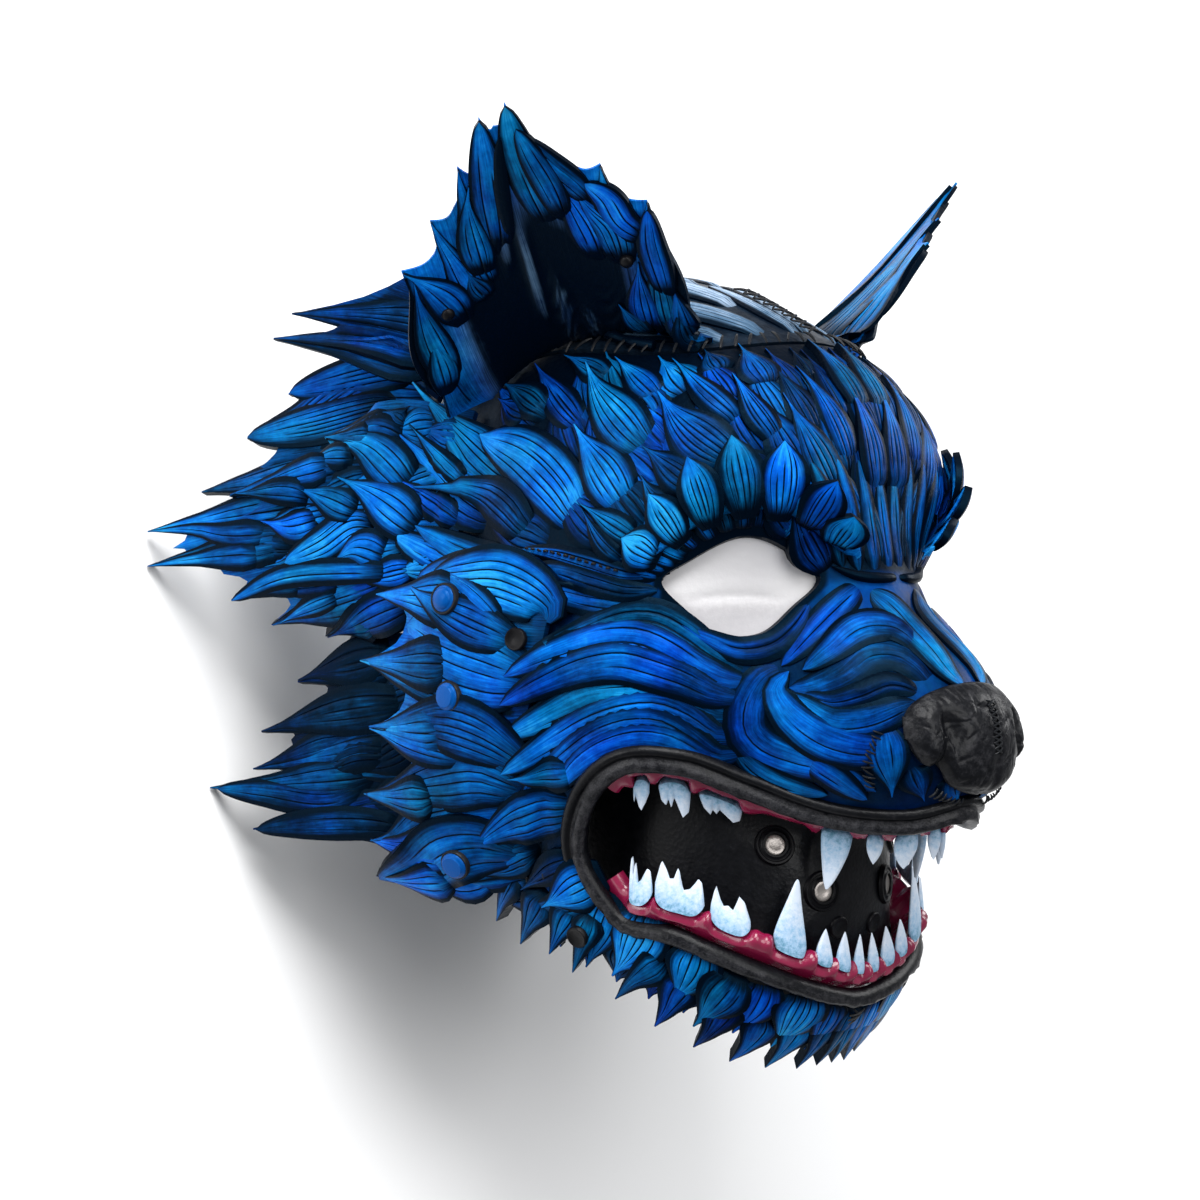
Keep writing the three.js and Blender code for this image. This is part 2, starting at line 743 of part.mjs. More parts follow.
add('face', makeFace(), 'blue');
add('crown', makeCrown(), 'grey');
add('jaw', makeJaw(), 'blue');
add('neck_panel', makeNeckPanel(), 'grey');
add('lip', makeLip(), 'black');
add('gum_upper', makeGum(upperMiddle), 'crimson');
add('gum_lower', makeGum(lowerMiddle), 'crimson');
add('mouth_guard', makeGuard(), 'black');
add('nose', makeNose(), 'black');
addPair('ear', makeEar(), 'blue');
addPair('ear_tuft', fan(earTuft), 'blue');
addPair('mane_upper', fan(maneUpper), 'blue');
addPair('mane_back', fan(maneBack), 'blue');
addPair('mane_lower', fan(maneLower), 'blueDark');
addPair('cheek', fan(cheekPlate), 'blue');
addPair('brow_tuft', fan(browTuft), 'blue');
addPair('eye_blank', makeEyeBlank(), 'white');
for (const [name, corner] of Object.entries(snapCorners)) {
  addPair(`snap_${name}`, makeSnap(fanGrid(cheekPlate), corner), 'blueDark');
}
for (const [name, tooth] of Object.entries(upperTeeth)) {
  addPair(`upper_${name}`, makeTooth(tooth, upperMiddle), 'tooth');
}
for (const [name, tooth] of Object.entries(lowerTeeth)) {
  addPair(`lower_${name}`, makeTooth(tooth, lowerMiddle), 'tooth');
}

// Laid down: forward becomes up and the crown points along +Y, pitched until the tips of the
// upper and the lower mane touch the floor together

function laidDown(pitch) {
  const angle = THREE.MathUtils.degToRad(pitch);
  return new THREE.Matrix4().makeBasis(
    v3(-1, 0, 0),
    v3(0, -Math.sin(angle), Math.cos(angle)),
    v3(0, Math.cos(angle), Math.sin(angle)),
  );
}

function lowestOf(name, pitch) {
  const geometry = head.getObjectByName(name).geometry.clone().applyMatrix4(laidDown(pitch));
  geometry.computeBoundingBox();
  return geometry.boundingBox.min.z;
}

function restPitch() {
  let [low, high] = [0, 40];
  for (let step = 0; step < 24; step += 1) {
    const middle = (low + high) / 2;
    if (lowestOf('mane_upper_right', middle) < lowestOf('mane_lower_right', middle)) low = middle;
    else high = middle;
  }
  return (low + high) / 2;
}

const mask = new THREE.Group();
mask.add(head);
head.applyMatrix4(laidDown(restPitch()));
const box = new THREE.Box3().setFromObject(mask, true);
const centre = box.getCenter(new THREE.Vector3());
mask.position.set(-centre.x, -centre.y, -box.min.z);

export default mask;
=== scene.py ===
import math

import bpy
import numpy as np
from mathutils import Matrix, Vector
from mathutils.geometry import tessellate_polygon


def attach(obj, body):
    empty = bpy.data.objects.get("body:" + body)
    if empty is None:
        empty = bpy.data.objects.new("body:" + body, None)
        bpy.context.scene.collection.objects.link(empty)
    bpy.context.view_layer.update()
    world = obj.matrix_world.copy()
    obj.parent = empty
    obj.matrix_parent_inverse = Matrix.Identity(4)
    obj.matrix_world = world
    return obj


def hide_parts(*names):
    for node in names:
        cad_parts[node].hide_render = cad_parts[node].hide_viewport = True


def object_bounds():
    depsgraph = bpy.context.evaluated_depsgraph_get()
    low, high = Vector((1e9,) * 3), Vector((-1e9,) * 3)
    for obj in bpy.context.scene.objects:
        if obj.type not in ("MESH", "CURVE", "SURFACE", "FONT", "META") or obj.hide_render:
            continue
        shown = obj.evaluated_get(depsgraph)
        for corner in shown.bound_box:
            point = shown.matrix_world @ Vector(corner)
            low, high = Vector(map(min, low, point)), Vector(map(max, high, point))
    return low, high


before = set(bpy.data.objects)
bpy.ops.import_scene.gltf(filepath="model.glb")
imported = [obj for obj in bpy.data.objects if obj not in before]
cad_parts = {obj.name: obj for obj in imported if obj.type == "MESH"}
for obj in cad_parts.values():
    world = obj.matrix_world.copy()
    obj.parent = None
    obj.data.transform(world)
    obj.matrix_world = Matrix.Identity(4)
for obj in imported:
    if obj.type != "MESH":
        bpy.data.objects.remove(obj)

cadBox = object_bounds()
print("frame loaded")

# The mask is shaped in the head frame, in millimetres: +X to the wolf's right, +Y forward, +Z up.
# Lying down turns that frame back and moves it, which gives the part frame, in metres.
lying = {"sine": 0.25319423, "cosine": 0.96741547, "shift": (0.0, 16.3477, 177.0785)}


def turned(ways):
    x, y, z = np.moveaxis(np.asarray(ways, dtype=float), -1, 0)
    s, c = lying["sine"], lying["cosine"]
    return np.stack([-x, c * z - s * y, c * y + s * z], -1)


def laidDown(points):
    return (turned(points) + np.array(lying["shift"])) / 1000.0


# Marks of so many numbers each
def marksOf(text, each=2):
    numbers = [float(word) for word in text.split()]
    return [numbers[k:k + each] for k in range(0, len(numbers), each)]


# The marks of laid leaves were picked by eye on the photo, as pixels. A scratch program outside this script
# turned most of them into places on the surfaces, so these tables are largely its numbers, in part changed.
# A table in lines: a name, five values and then marks. For laid leaves the values are outline,
# width in mm, hair lines, light and shade, and the marks run from root to tip.
def tableOf(text, each=2):
    rows = {}
    for line in text.strip().splitlines():
        name, *values, marks = line.split(None, 6)
        rows[name] = (*(value if value.isalpha() else float(value) for value in values), marksOf(marks, each))
    return rows


def unit(ways):
    ways = np.asarray(ways, dtype=float)
    return ways / np.maximum(np.linalg.norm(ways, axis=-1, keepdims=True), 1e-9)


def dot(a, b):
    return (a * b).sum(-1)


def ramp(x, low, high):
    t = np.clip((x - low) / (high - low), 0.0, 1.0)
    return t * t * (3.0 - 2.0 * t)


# The head's form: a soft union of lumps, each written for the right side and the middle
headCentre = np.array([0.0, 0.0, -10.0])
headBlend = 14.0
headLumps = {
    "skull": ((0, -12, 34), (99, 116, 114)),
    "brow": ((0, 62, 62), (74, 57, 48)),
    "browRidge": ((44, 80, 42), (32, 28, 20)),
    "cheek": ((58, 22, -42), (52, 70, 72)),
    "muzzle": ((0, 92, -52), (54, 66, 42)),
    "snout": ((0, 126, -58), (35, 37, 31)),
    "noseTip": ((0, 143, -62), (26, 23, 23)),
    "bridge": ((0, 104, -6), (20, 22, 38)),
    "jaw": ((0, 55, -140), (76, 66, 56)),
    "jowl": ((58, 10, -114), (30, 40, 38)),
}


def headDistance(points):
    total = np.zeros(points.shape[:-1])
    side = np.abs(points[..., 0])
    for at, radii in headLumps.values():
        x = (side - at[0]) / radii[0]
        y = (points[..., 1] - at[1]) / radii[1]
        z = (points[..., 2] - at[2]) / radii[2]
        reach = np.sqrt(x * x + y * y + z * z)
        slope = np.sqrt((x / radii[0]) ** 2 + (y / radii[1]) ** 2 + (z / radii[2]) ** 2)
        total += np.exp(-reach * (reach - 1.0) / np.maximum(slope, 1e-9) / headBlend)
    return -headBlend * np.log(total + 1e-300)


def direction(az, el):
    a, e = np.radians(az), np.radians(el)
    return np.stack([np.sin(a) * np.cos(e), np.cos(a) * np.cos(e), np.sin(e) + 0.0 * a], -1)


tableStep = 0.75  # degrees between the places where the head's radius is worked out


def measureHead():
    az, el = np.meshgrid(np.arange(-180.0, 180.1, tableStep), np.arange(-90.0, 90.1, tableStep), indexing="ij")
    way = direction(az, el)
    inside, outside = np.full(az.shape, 40.0), np.full(az.shape, 300.0)
    for _ in range(17):
        middle = (inside + outside) / 2.0
        out = headDistance(headCentre + way * middle[..., None]) > 0
        inside, outside = np.where(out, inside, middle), np.where(out, middle, outside)
    return inside


radiusTable = measureHead()
print("head form measured")


def headRadius(az, el):
    a = np.mod(np.asarray(az, dtype=float) + 180.0, 360.0) / tableStep
    e = (np.clip(el, -90.0, 90.0) + 90.0) / tableStep
    i = np.minimum(a.astype(int), radiusTable.shape[0] - 2)
    j = np.minimum(e.astype(int), radiusTable.shape[1] - 2)
    fa, fe = a - i, e - j
    low = radiusTable[i, j] * (1 - fa) + radiusTable[i + 1, j] * fa
    high = radiusTable[i, j + 1] * (1 - fa) + radiusTable[i + 1, j + 1] * fa
    return low * (1 - fe) + high * fe


def outTo(az, el, far):
    return headCentre + direction(az, el) * far[..., None]


def onHead(az, el, lift=0.0):
    az, el = np.asarray(az, dtype=float), np.asarray(el, dtype=float)
    return outTo(az, el, headRadius(az, el) + lift)


def anglesOf(points):
    p = np.asarray(points, dtype=float) - headCentre
    far = np.linalg.norm(p, axis=-1)
    return np.degrees(np.arctan2(p[..., 0], p[..., 1])), np.degrees(np.arcsin(p[..., 2] / far)), far


def ontoHead(points):
    az, el, _ = anglesOf(points)
    return onHead(az, el)


def headNormal(points):
    az, el, _ = anglesOf(points)
    el = np.clip(el, -88.0, 88.0)
    across = onHead(az + 0.8, el) - onHead(az - 0.8, el)
    upward = onHead(az, el + 0.8) - onHead(az, el - 0.8)
    normal = unit(np.cross(upward, across))
    outward = dot(normal, direction(az, el)) < 0
    return np.where(outward[..., None], -normal, normal)


# Moves points out to at least this far above the head
def seated(points, lift):
    az, el, far = anglesOf(points)
    return outTo(az, el, np.maximum(far, headRadius(az, el) + lift))


# A smooth run through points, at t from 0 to 1, with each stretch between two points as long in t
def smoothRun(points, t, closed=False):
    points = np.asarray(points, dtype=float)
    count = len(points)
    if closed:
        padded = np.vstack([points[-1:], points, points[:2]])
        last = count
    else:
        padded = np.vstack([2 * points[0] - points[1], points, 2 * points[-1] - points[-2]])
        last = count - 1
    place = np.clip(np.asarray(t, dtype=float), 0.0, 1.0) * last
    k = np.minimum(place.astype(int), last - 1)
    w = (place - k)[..., None]
    p0, p1, p2, p3 = (padded[k + n] for n in range(4))
    d0, d1, d2 = (np.sqrt(np.linalg.norm(b - a, axis=-1, keepdims=True)) for a, b in ((p0, p1), (p1, p2), (p2, p3)))
    m1 = ((p1 - p0) / d0 - (p2 - p0) / (d0 + d1) + (p2 - p1) / d1) * d1
    m2 = ((p2 - p1) / d1 - (p3 - p1) / (d1 + d2) + (p3 - p2) / d2) * d1
    return p1 + m1 * w + (3 * (p2 - p1) - 2 * m1 - m2) * w ** 2 + (2 * (p1 - p2) + m1 + m2) * w ** 3


def lengthsAlong(points):
    return np.concatenate([[0], np.cumsum(np.linalg.norm(np.diff(points, axis=0), axis=1))])


def edgeThrough(points):
    run = smoothRun(points, np.linspace(0.0, 1.0, 200))
    return lambda az: np.interp(np.abs(az), run[:, 0], run[:, 1])


# Meshes are kept as (points, [faces of one size, ...], dye and shading) until they become a piece. The dye and shading
# of a point is how black it is, which is the black of its cuts together with painted shade, how light its blue is,
# which holds painted highlights too, and how grey the hide is there. Three more values may follow: mm across its leaf,
# mm along it, and a number for the leaf.
dyeSize = 6


def fullDye(dyeAndShading):
    return np.hstack([dyeAndShading, np.zeros((len(dyeAndShading), dyeSize - dyeAndShading.shape[1]))])


def signedVolume(points, groups):
    total = 0.0
    for faces in groups:
        for k in range(1, faces.shape[1] - 1):
            a, b, c = points[faces[:, 0]], points[faces[:, k]], points[faces[:, k + 1]]
            total += dot(a, np.cross(b, c)).sum()
    return total


def closedForm(points, groups, dyeAndShading):
    middle = points.mean(0)
    if signedVolume(points - middle, groups) < 0:
        groups = [faces[:, ::-1] for faces in groups]
    return points, groups, dyeAndShading


def together(*forms):
    points, groups, dyes, start = [], [], [], 0
    for form in forms:
        points.append(form[0])
        dyes.append(fullDye(form[2]))
        groups += [faces + start for faces in form[1]]
        start += len(form[0])
    return np.concatenate(points), groups, np.concatenate(dyes)


mirrorX = np.array([-1.0, 1.0, 1.0])


def mirrored(form):
    points, groups, dyeAndShading = form
    return points * mirrorX, [faces[:, ::-1] for faces in groups], dyeAndShading


def bothSides(form):
    return together(form, mirrored(form))


def withMirror(rows):
    return np.vstack([rows, rows * mirrorX])


def circle(corners):
    return np.linspace(0, 2 * np.pi, corners + 1)[:-1]


# Quads between neighbouring closed rings of corners
def ringQuads(near, far):
    return np.stack([near, np.roll(near, -1, -1), np.roll(far, -1, -1), far], -1).reshape(-1, 4)


# Closed tubes from rings of points: shape (tubes, rings, corners, 3)
def tubesFrom(rings, dyeAndShading):
    tubes, count, corners, _ = rings.shape
    ids = np.arange(tubes * count * corners).reshape(tubes, count, corners)
    ends = np.concatenate([ids[:, 0, ::-1], ids[:, -1, :]])
    quads = ringQuads(ids[:, :-1], ids[:, 1:])
    return closedForm(rings.reshape(-1, 3), [quads, ends], dyeAndShading.reshape(-1, dyeAndShading.shape[-1]))


# A closed ring-shaped band: shape (rings, corners, 3)
def loopFrom(rings, dyeAndShading):
    count, corners, _ = rings.shape
    ids = np.arange(count * corners).reshape(count, corners)
    return closedForm(rings.reshape(-1, 3), [ringQuads(ids, np.roll(ids, -1, 0))], dyeAndShading.reshape(-1, 3))


# Two grids of the same size, one for each face, joined round their edges
def slabFrom(outer, inner, dyeAndShading, loop=False):
    columns, rows = outer.shape[:2]
    ids = np.arange(2 * columns * rows).reshape(2, columns, rows)
    if loop:
        ids = np.concatenate([ids, ids[:, :1]], 1)
    a, b = ids[0], ids[1]
    quads = [
        np.stack([a[:-1, :-1], a[1:, :-1], a[1:, 1:], a[:-1, 1:]], -1).reshape(-1, 4),
        np.stack([b[:-1, :-1], b[:-1, 1:], b[1:, 1:], b[1:, :-1]], -1).reshape(-1, 4),
        np.stack([a[:-1, 0], b[:-1, 0], b[1:, 0], a[1:, 0]], -1),
        np.stack([a[:-1, -1], a[1:, -1], b[1:, -1], b[:-1, -1]], -1),
    ]
    if not loop:
        quads.append(np.stack([a[0, :-1], a[0, 1:], b[0, 1:], b[0, :-1]], -1))
        quads.append(np.stack([a[-1, :-1], b[-1, :-1], b[-1, 1:], a[-1, 1:]], -1))
    points = np.concatenate([outer.reshape(-1, 3), inner.reshape(-1, 3)])
    return closedForm(points, [np.concatenate(quads)], dyeAndShading)


def plainDye(count, cut=0.0, light=0.5, grey=0.0):
    return np.tile([cut, light, grey], (count, 1)).astype(float)


def setAttribute(mesh, name, kind, field, values):
    mesh.attributes.new(name, kind, "POINT").data.foreach_set(field, values.astype(np.float32).ravel())


def meshFrom(name, points, groups):
    mesh = bpy.data.meshes.new(name)
    mesh.vertices.add(len(points))
    mesh.vertices.foreach_set("co", points.astype(np.float32).ravel())
    sizes = np.concatenate([np.full(len(faces), faces.shape[1]) for faces in groups])
    mesh.loops.add(sizes.sum())
    mesh.loops.foreach_set("vertex_index", np.concatenate([faces.ravel() for faces in groups]).astype(np.int32))
    mesh.polygons.add(len(sizes))
    mesh.polygons.foreach_set("loop_start", (np.cumsum(sizes) - sizes).astype(np.int32))
    mesh.update(calc_edges=True)
    mesh.validate()
    return mesh


def meshOf(name, form):
    points, groups, dyeAndShading = form
    mesh, dyeAndShading = meshFrom(name, laidDown(points), groups), fullDye(dyeAndShading)
    setAttribute(mesh, "dyeAndShading", "FLOAT_COLOR", "color", np.hstack([dyeAndShading[:, :3], np.ones((len(dyeAndShading), 1))]))
    setAttribute(mesh, "strand", "FLOAT_VECTOR", "vector", dyeAndShading[:, 3:])
    return mesh


def placed(name, data):
    thing = bpy.data.objects.new(name, data)
    bpy.context.scene.collection.objects.link(thing)
    return thing


def dropAll(*things):
    for thing in things:
        bpy.data.objects.remove(thing)


def pieceFrom(name, form, material, smoothTo=50):
    mesh = meshOf(name, form)
    piece = placed(name, mesh)
    mesh.materials.append(material)
    mesh.shade_smooth()
    mesh.set_sharp_from_angle(angle=math.radians(smoothTo))
    return piece


def finishPiece(piece, slot, *nodes):
    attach(piece, "root")
    if nodes:
        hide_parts(*nodes)
    faces = sum(len(p.vertices) - 2 for p in piece.data.polygons)
    print(f"{piece.name}: {faces} triangles")


def finishForm(name, form, material, slot, node, smoothTo=50):
    finishPiece(pieceFrom(name, form, material, smoothTo), slot, node)


# A piece for the right side and its mirror image for the left, with the side in the places of {}
def finishPair(name, form, material, slot, node, smoothTo=50):
    for side, shaped in (("right", form), ("left", mirrored(form))):
        finishForm(name.format(side), shaped, material, slot, node.format(side), smoothTo)


# The form left when plugs are cut out of a form, with its dye worked out again from its points
def cutOut(form, plugs, dyeAt):
    body = placed("cutBody", meshOf("cutBody", form))
    tools = [placed("cutTool", meshOf("cutTool", plug)) for plug in plugs]
    for tool in tools:
        cut = body.modifiers.new("cut", "BOOLEAN")
        cut.operation = "DIFFERENCE"
        cut.solver = "EXACT"
        cut.object = tool
    bpy.context.view_layer.update()
    shaped = body.evaluated_get(bpy.context.evaluated_depsgraph_get()).to_mesh()
    shaped.calc_loop_triangles()
    flat = np.zeros(len(shaped.vertices) * 3)
    shaped.vertices.foreach_get("co", flat)
    faces = np.zeros(len(shaped.loop_triangles) * 3, dtype=np.int32)
    shaped.loop_triangles.foreach_get("vertices", faces)
    points = turned(flat.reshape(-1, 3) * 1000.0 - np.array(lying["shift"]))  # the turn undoes itself
    dropAll(body, *tools)
    return points, [faces.reshape(-1, 3)], dyeAt(points)


def radialPlug(outline, near=60.0, far=260.0):
    way = direction(outline[:, 0], outline[:, 1])
    count = len(outline)
    caps = np.array(tessellate_polygon([[Vector((a, e, 0.0)) for a, e in outline]]))
    a = np.arange(count)
    b = np.roll(a, -1)
    walls = np.stack([a, b, b + count, a + count], -1)
    flat = outline[caps]
    edgeA, edgeB = flat[:, 1] - flat[:, 0], flat[:, 2] - flat[:, 0]
    turns = edgeA[:, 0] * edgeB[:, 1] - edgeA[:, 1] * edgeB[:, 0]
    area = np.sum(outline[:, 0] * np.roll(outline[:, 1], -1) - outline[:, 1] * np.roll(outline[:, 0], -1))
    caps = np.where((turns * area < 0)[:, None], caps[:, ::-1], caps)
    points = np.concatenate([headCentre + way * near, headCentre + way * far])
    return closedForm(points, [walls, np.concatenate([caps[:, ::-1], caps + count])], plainDye(2 * count))


# Materials. A value for a socket is set on it, and where it is a socket itself, it is linked to it.
def setSockets(node, values):
    for key, value in values.items():
        if isinstance(value, bpy.types.NodeSocket):
            node.id_data.links.new(value, node.inputs[key])
        else:
            node.inputs[key].default_value = value


def nodeIn(tree, kind, values=None, **settings):
    node = tree.nodes.new(kind)
    row, column = divmod(len(tree.nodes) - 1, 8)
    node.location = (220 * column, -300 * row)
    for key, value in settings.items():
        setattr(node, key, value)
    setSockets(node, values or {})
    return node


def newMaterial(name):
    material = bpy.data.materials.new(name)
    material.use_nodes = True
    tree = material.node_tree
    tree.nodes.clear()
    shader = nodeIn(tree, "ShaderNodeBsdfPrincipled")
    nodeIn(tree, "ShaderNodeOutputMaterial", {0: shader.outputs[0]})
    return material, tree, shader


def opaque(colour):
    return (*colour, 1.0)


# The helpers below add a node to the tree that their first socket is in, and give what it puts out
def rampOf(factor, stops):
    node = nodeIn(factor.id_data, "ShaderNodeValToRGB", {0: factor})
    elements = node.color_ramp.elements
    while len(elements) < len(stops):
        elements.new(0.5)
    for element, (at, colour) in zip(elements, stops):
        element.position = at
        element.color = opaque(colour)
    return node.outputs[0]


def mathOf(a, operation, b, clamp=False):
    return nodeIn(a.id_data, "ShaderNodeMath", {0: a, 1: b}, operation=operation, use_clamp=clamp).outputs[0]


def plus(a, b, clamp=False):
    return mathOf(a, "ADD", b, clamp)


def times(a, b):
    return mathOf(a, "MULTIPLY", b)


# Turns noise from 0 to 1 into a swing about nought
def swingOf(noise, amount):
    return times(mathOf(noise, "SUBTRACT", 0.5), amount)


def mixOf(factor, a, b):
    return nodeIn(factor.id_data, "ShaderNodeMix", {0: factor, 6: a, 7: b}, data_type="RGBA").outputs[2]


# Stretches a value from or to the given span
def spanOf(value, span, which="From", **settings):
    inputs = {0: value, f"{which} Min": span[0], f"{which} Max": span[1]}
    return nodeIn(value.id_data, "ShaderNodeMapRange", inputs, **settings).outputs[0]


def noiseOf(coords, scale, detail=4.0, roughness=0.55):
    values = {"Vector": coords, "Scale": scale, "Detail": detail, "Roughness": roughness}
    return nodeIn(coords.id_data, "ShaderNodeTexNoise", values).outputs[0]


def attributeIn(tree, name, output):
    return nodeIn(tree, "ShaderNodeAttribute", attribute_name=name).outputs[output]


def dyeIn(tree):
    return nodeIn(tree, "ShaderNodeSeparateColor", {0: attributeIn(tree, "dyeAndShading", "Color")}).outputs


def coordsIn(tree):
    return nodeIn(tree, "ShaderNodeTexCoord").outputs["Object"]


# Fine grain and creases of leather, as a bump on the shader
def addGrain(shader, coords, strength, grainScale=1100.0, creaseScale=420.0, streak=None):
    tree = shader.id_data
    crease = nodeIn(tree, "ShaderNodeTexVoronoi", {"Vector": coords, "Scale": creaseScale}).outputs[0]
    height = plus(times(noiseOf(coords, grainScale, 3.0), 0.6), crease)
    if streak is not None:
        height = plus(height, times(streak, 1.6))
    bump = nodeIn(tree, "ShaderNodeBump", {"Strength": strength, "Distance": 0.0004, "Height": height})
    setSockets(shader, {"Normal": bump.outputs[0]})


hideLook = {
    "black": (0.0003, 0.0016, 0.0050),
    "blues": [
        (0.0, (0.0002, 0.002, 0.018)),
        (0.25, (0.0003, 0.010, 0.10)),
        (0.5, (0.0005, 0.036, 0.33)),
        (0.75, (0.0010, 0.095, 0.60)),
        (1.0, (0.010, 0.24, 0.78)),
    ],
    "teals": [
        (0.0, (0.0002, 0.004, 0.011)),
        (0.25, (0.0004, 0.020, 0.055)),
        (0.5, (0.0008, 0.070, 0.18)),
        (0.75, (0.0020, 0.155, 0.38)),
        (1.0, (0.020, 0.31, 0.60)),
    ],
    "hueScale": 30.0,
    "greys": [(0.0, (0.004, 0.012, 0.035)), (0.5, (0.07, 0.135, 0.22)), (1.0, (0.34, 0.45, 0.60))],
    "patches": (26.0, 1.25),   # scale, and how far they swing the tone
    "mottle": (190.0, 0.55),
    "roughness": (0.28, 0.50),
    "grain": 0.22,
    "shine": 0.09,
    "shineTint": (0.08, 0.50, 1.0),
    "coat": 0.005,
    "coatRoughness": 0.12,
    "strands": (0.9, 0.06, 1.0),  # how close the streaks lie across a leaf and along it
    "streak": 0.8,
    "leafLean": 0.45,          # how much of a leaf's hue is its own
    "lean": (0.48, 0.98),
    "wornAndShaded": (0.08, 0.70),      # where the black, rubbed in and painted as shade, begins and where it is full
}


def dyedHide(name, look=hideLook):
    material, tree, shader = newMaterial(name)
    coords = coordsIn(tree)
    # How black (the black of the cuts together with painted shade), how light (with painted highlights) and how grey
    # the hide is
    cut, light, grey = dyeIn(tree)
    patchScale, patchSwing = look["patches"]
    mottleScale, mottleSwing = look["mottle"]
    mottle = noiseOf(coords, mottleScale, 5.0, 0.65)
    wander = swingOf(noiseOf(coords, patchScale, 3.0), patchSwing)
    spread = swingOf(mottle, mottleSwing)
    strand = attributeIn(tree, "strand", "Vector")
    stretched = nodeIn(tree, "ShaderNodeVectorMath", {0: strand, 1: look["strands"]}, operation="MULTIPLY")
    streak = noiseOf(stretched.outputs[0], 1.0, 4.0, 0.6)
    streaks = swingOf(streak, look["streak"])
    tone = plus(light, plus(plus(wander, streaks), spread), clamp=True)
    # Every leaf leans to one of two blues, and patches of the hide do too
    leaf = nodeIn(tree, "ShaderNodeSeparateXYZ", {0: strand}).outputs[2]
    leafHue = nodeIn(tree, "ShaderNodeTexWhiteNoise", {"W": leaf}, noise_dimensions="1D").outputs["Value"]
    drift = noiseOf(coords, look["hueScale"], 4.0, 0.6)
    share = spanOf(plus(times(leafHue, look["leafLean"]), drift), look["lean"])
    blue = mixOf(share, rampOf(tone, look["blues"]), rampOf(tone, look["teals"]))
    body = mixOf(grey, blue, rampOf(tone, look["greys"]))
    # The black mixed in is the black rubbed into the cuts and painted shade at roots, sides and shaded leaves, broken
    # up by mottle and streaks
    rubbedAndShaded = plus(plus(cut, times(spread, 0.55)), times(streaks, -0.5))
    wornAndShaded = spanOf(rubbedAndShaded, look["wornAndShaded"], interpolation_type="SMOOTHSTEP")
    setSockets(shader, {
        "Base Color": mixOf(wornAndShaded, body, opaque(look["black"])),
        "Roughness": spanOf(mottle, look["roughness"], "To"),
        "Coat Weight": look["coat"],
        "Coat Roughness": look["coatRoughness"],
        "Specular IOR Level": look["shine"],
        "Specular Tint": opaque(look["shineTint"]),
    })
    addGrain(shader, coords, look["grain"], streak=streak)
    return material


blueHide = dyedHide("blueHide")


# Black wrinkled leather; where the dye's third value is one, it is rough and rubbed
def blackHide(name, grain=0.3, coat=0.04):
    material, tree, shader = newMaterial(name)
    coords = coordsIn(tree)
    mottle = noiseOf(coords, 240.0, 5.0, 0.7)
    specks = noiseOf(coords, 1500.0, 3.0, 0.8)
    tone = plus(mottle, times(times(specks, specks), dyeIn(tree)[2]), clamp=True)
    stops = [(0.3, (0.0008, 0.0010, 0.0018)), (0.62, (0.0026, 0.003, 0.0046)), (0.95, (0.03, 0.03, 0.034))]
    setSockets(shader, {
        "Base Color": rampOf(tone, stops), "Roughness": spanOf(mottle, (0.24, 0.5), "To"),
        "Specular IOR Level": 0.16, "Coat Weight": coat, "Coat Roughness": 0.15,
    })
    addGrain(shader, coords, grain, 1500.0, 520.0)
    return material


# Paint in two colours with fine brush marks; the dye's first value is how much of the second shows
def brushedPaint(name, first, second, streak, roughness, coat, share=1.0, speckle=1.5, **sockets):
    material, tree, shader = newMaterial(name)
    coords = coordsIn(tree)
    wander = swingOf(noiseOf(coords, 420.0, 6.0, 0.75), speckle)
    amount = plus(times(dyeIn(tree)[0], share), wander, clamp=True)
    setSockets(shader, {
        "Base Color": rampOf(amount, [(0.25, first), (0.75, second), (1.0, streak)]),
        "Roughness": roughness, "Coat Weight": coat, "Coat Roughness": 0.12, **sockets,
    })
    addGrain(shader, coords, 0.25, 1300.0, 300.0)
    return material


def shineOf(level, tint=(1.0, 1.0, 1.0)):
    return {"Specular IOR Level": level, "Specular Tint": opaque(tint)}


blackLeather = blackHide("blackLeather")
toothPaint = brushedPaint("toothPaint", (0.58, 0.66, 0.77), (0.27, 0.45, 0.64), (0.08, 0.24, 0.36), 0.42, 0.12, 0.9)
gumPaint = brushedPaint("gumPaint", (0.23, 0.006, 0.045), (0.10, 0.003, 0.022), (0.04, 0.002, 0.01), 0.25, 0.5, 0.3)
eyeWhite = brushedPaint("eyeWhite", (0.68, 0.67, 0.68), (0.46, 0.45, 0.465), (0.40, 0.39, 0.41), 0.6, 0.02, 1.0, 0.4)
snapPaint = brushedPaint(
    "snapPaint", (0.001, 0.06, 0.27), (0.001, 0.03, 0.15), (0.0005, 0.008, 0.04), 0.3, 0.03, 0.6,
    **shineOf(0.3, (0.1, 0.45, 1.0)),
)
threadBlack = brushedPaint(
    "threadBlack", (0.006, 0.007, 0.009), (0.012, 0.012, 0.015), (0.03, 0.03, 0.035), 0.5, 0.1, 0.5,
    **shineOf(0.12),
)
blackEnamel = brushedPaint(
    "blackEnamel", (0.002, 0.002, 0.003), (0.006, 0.006, 0.008), (0.02, 0.02, 0.02), 0.4, 0.02, 0.5,
    **shineOf(0.12),
)
nickel = brushedPaint(
    "nickel", (0.34, 0.31, 0.29), (0.22, 0.19, 0.17), (0.10, 0.08, 0.07), 0.35, 0.2, 0.6, Metallic=0.8,
)

# Camera at the photo's place, worked out in the head frame: it looks at the wolf's right cheek
# from the front right, level with the eyes, with the wolf's up as the picture's up
view = {"turn": 47.0, "far": 1330.0, "target": (20.4, -21.9, 0.0), "focal": 2890.0, "width": 1200.0}


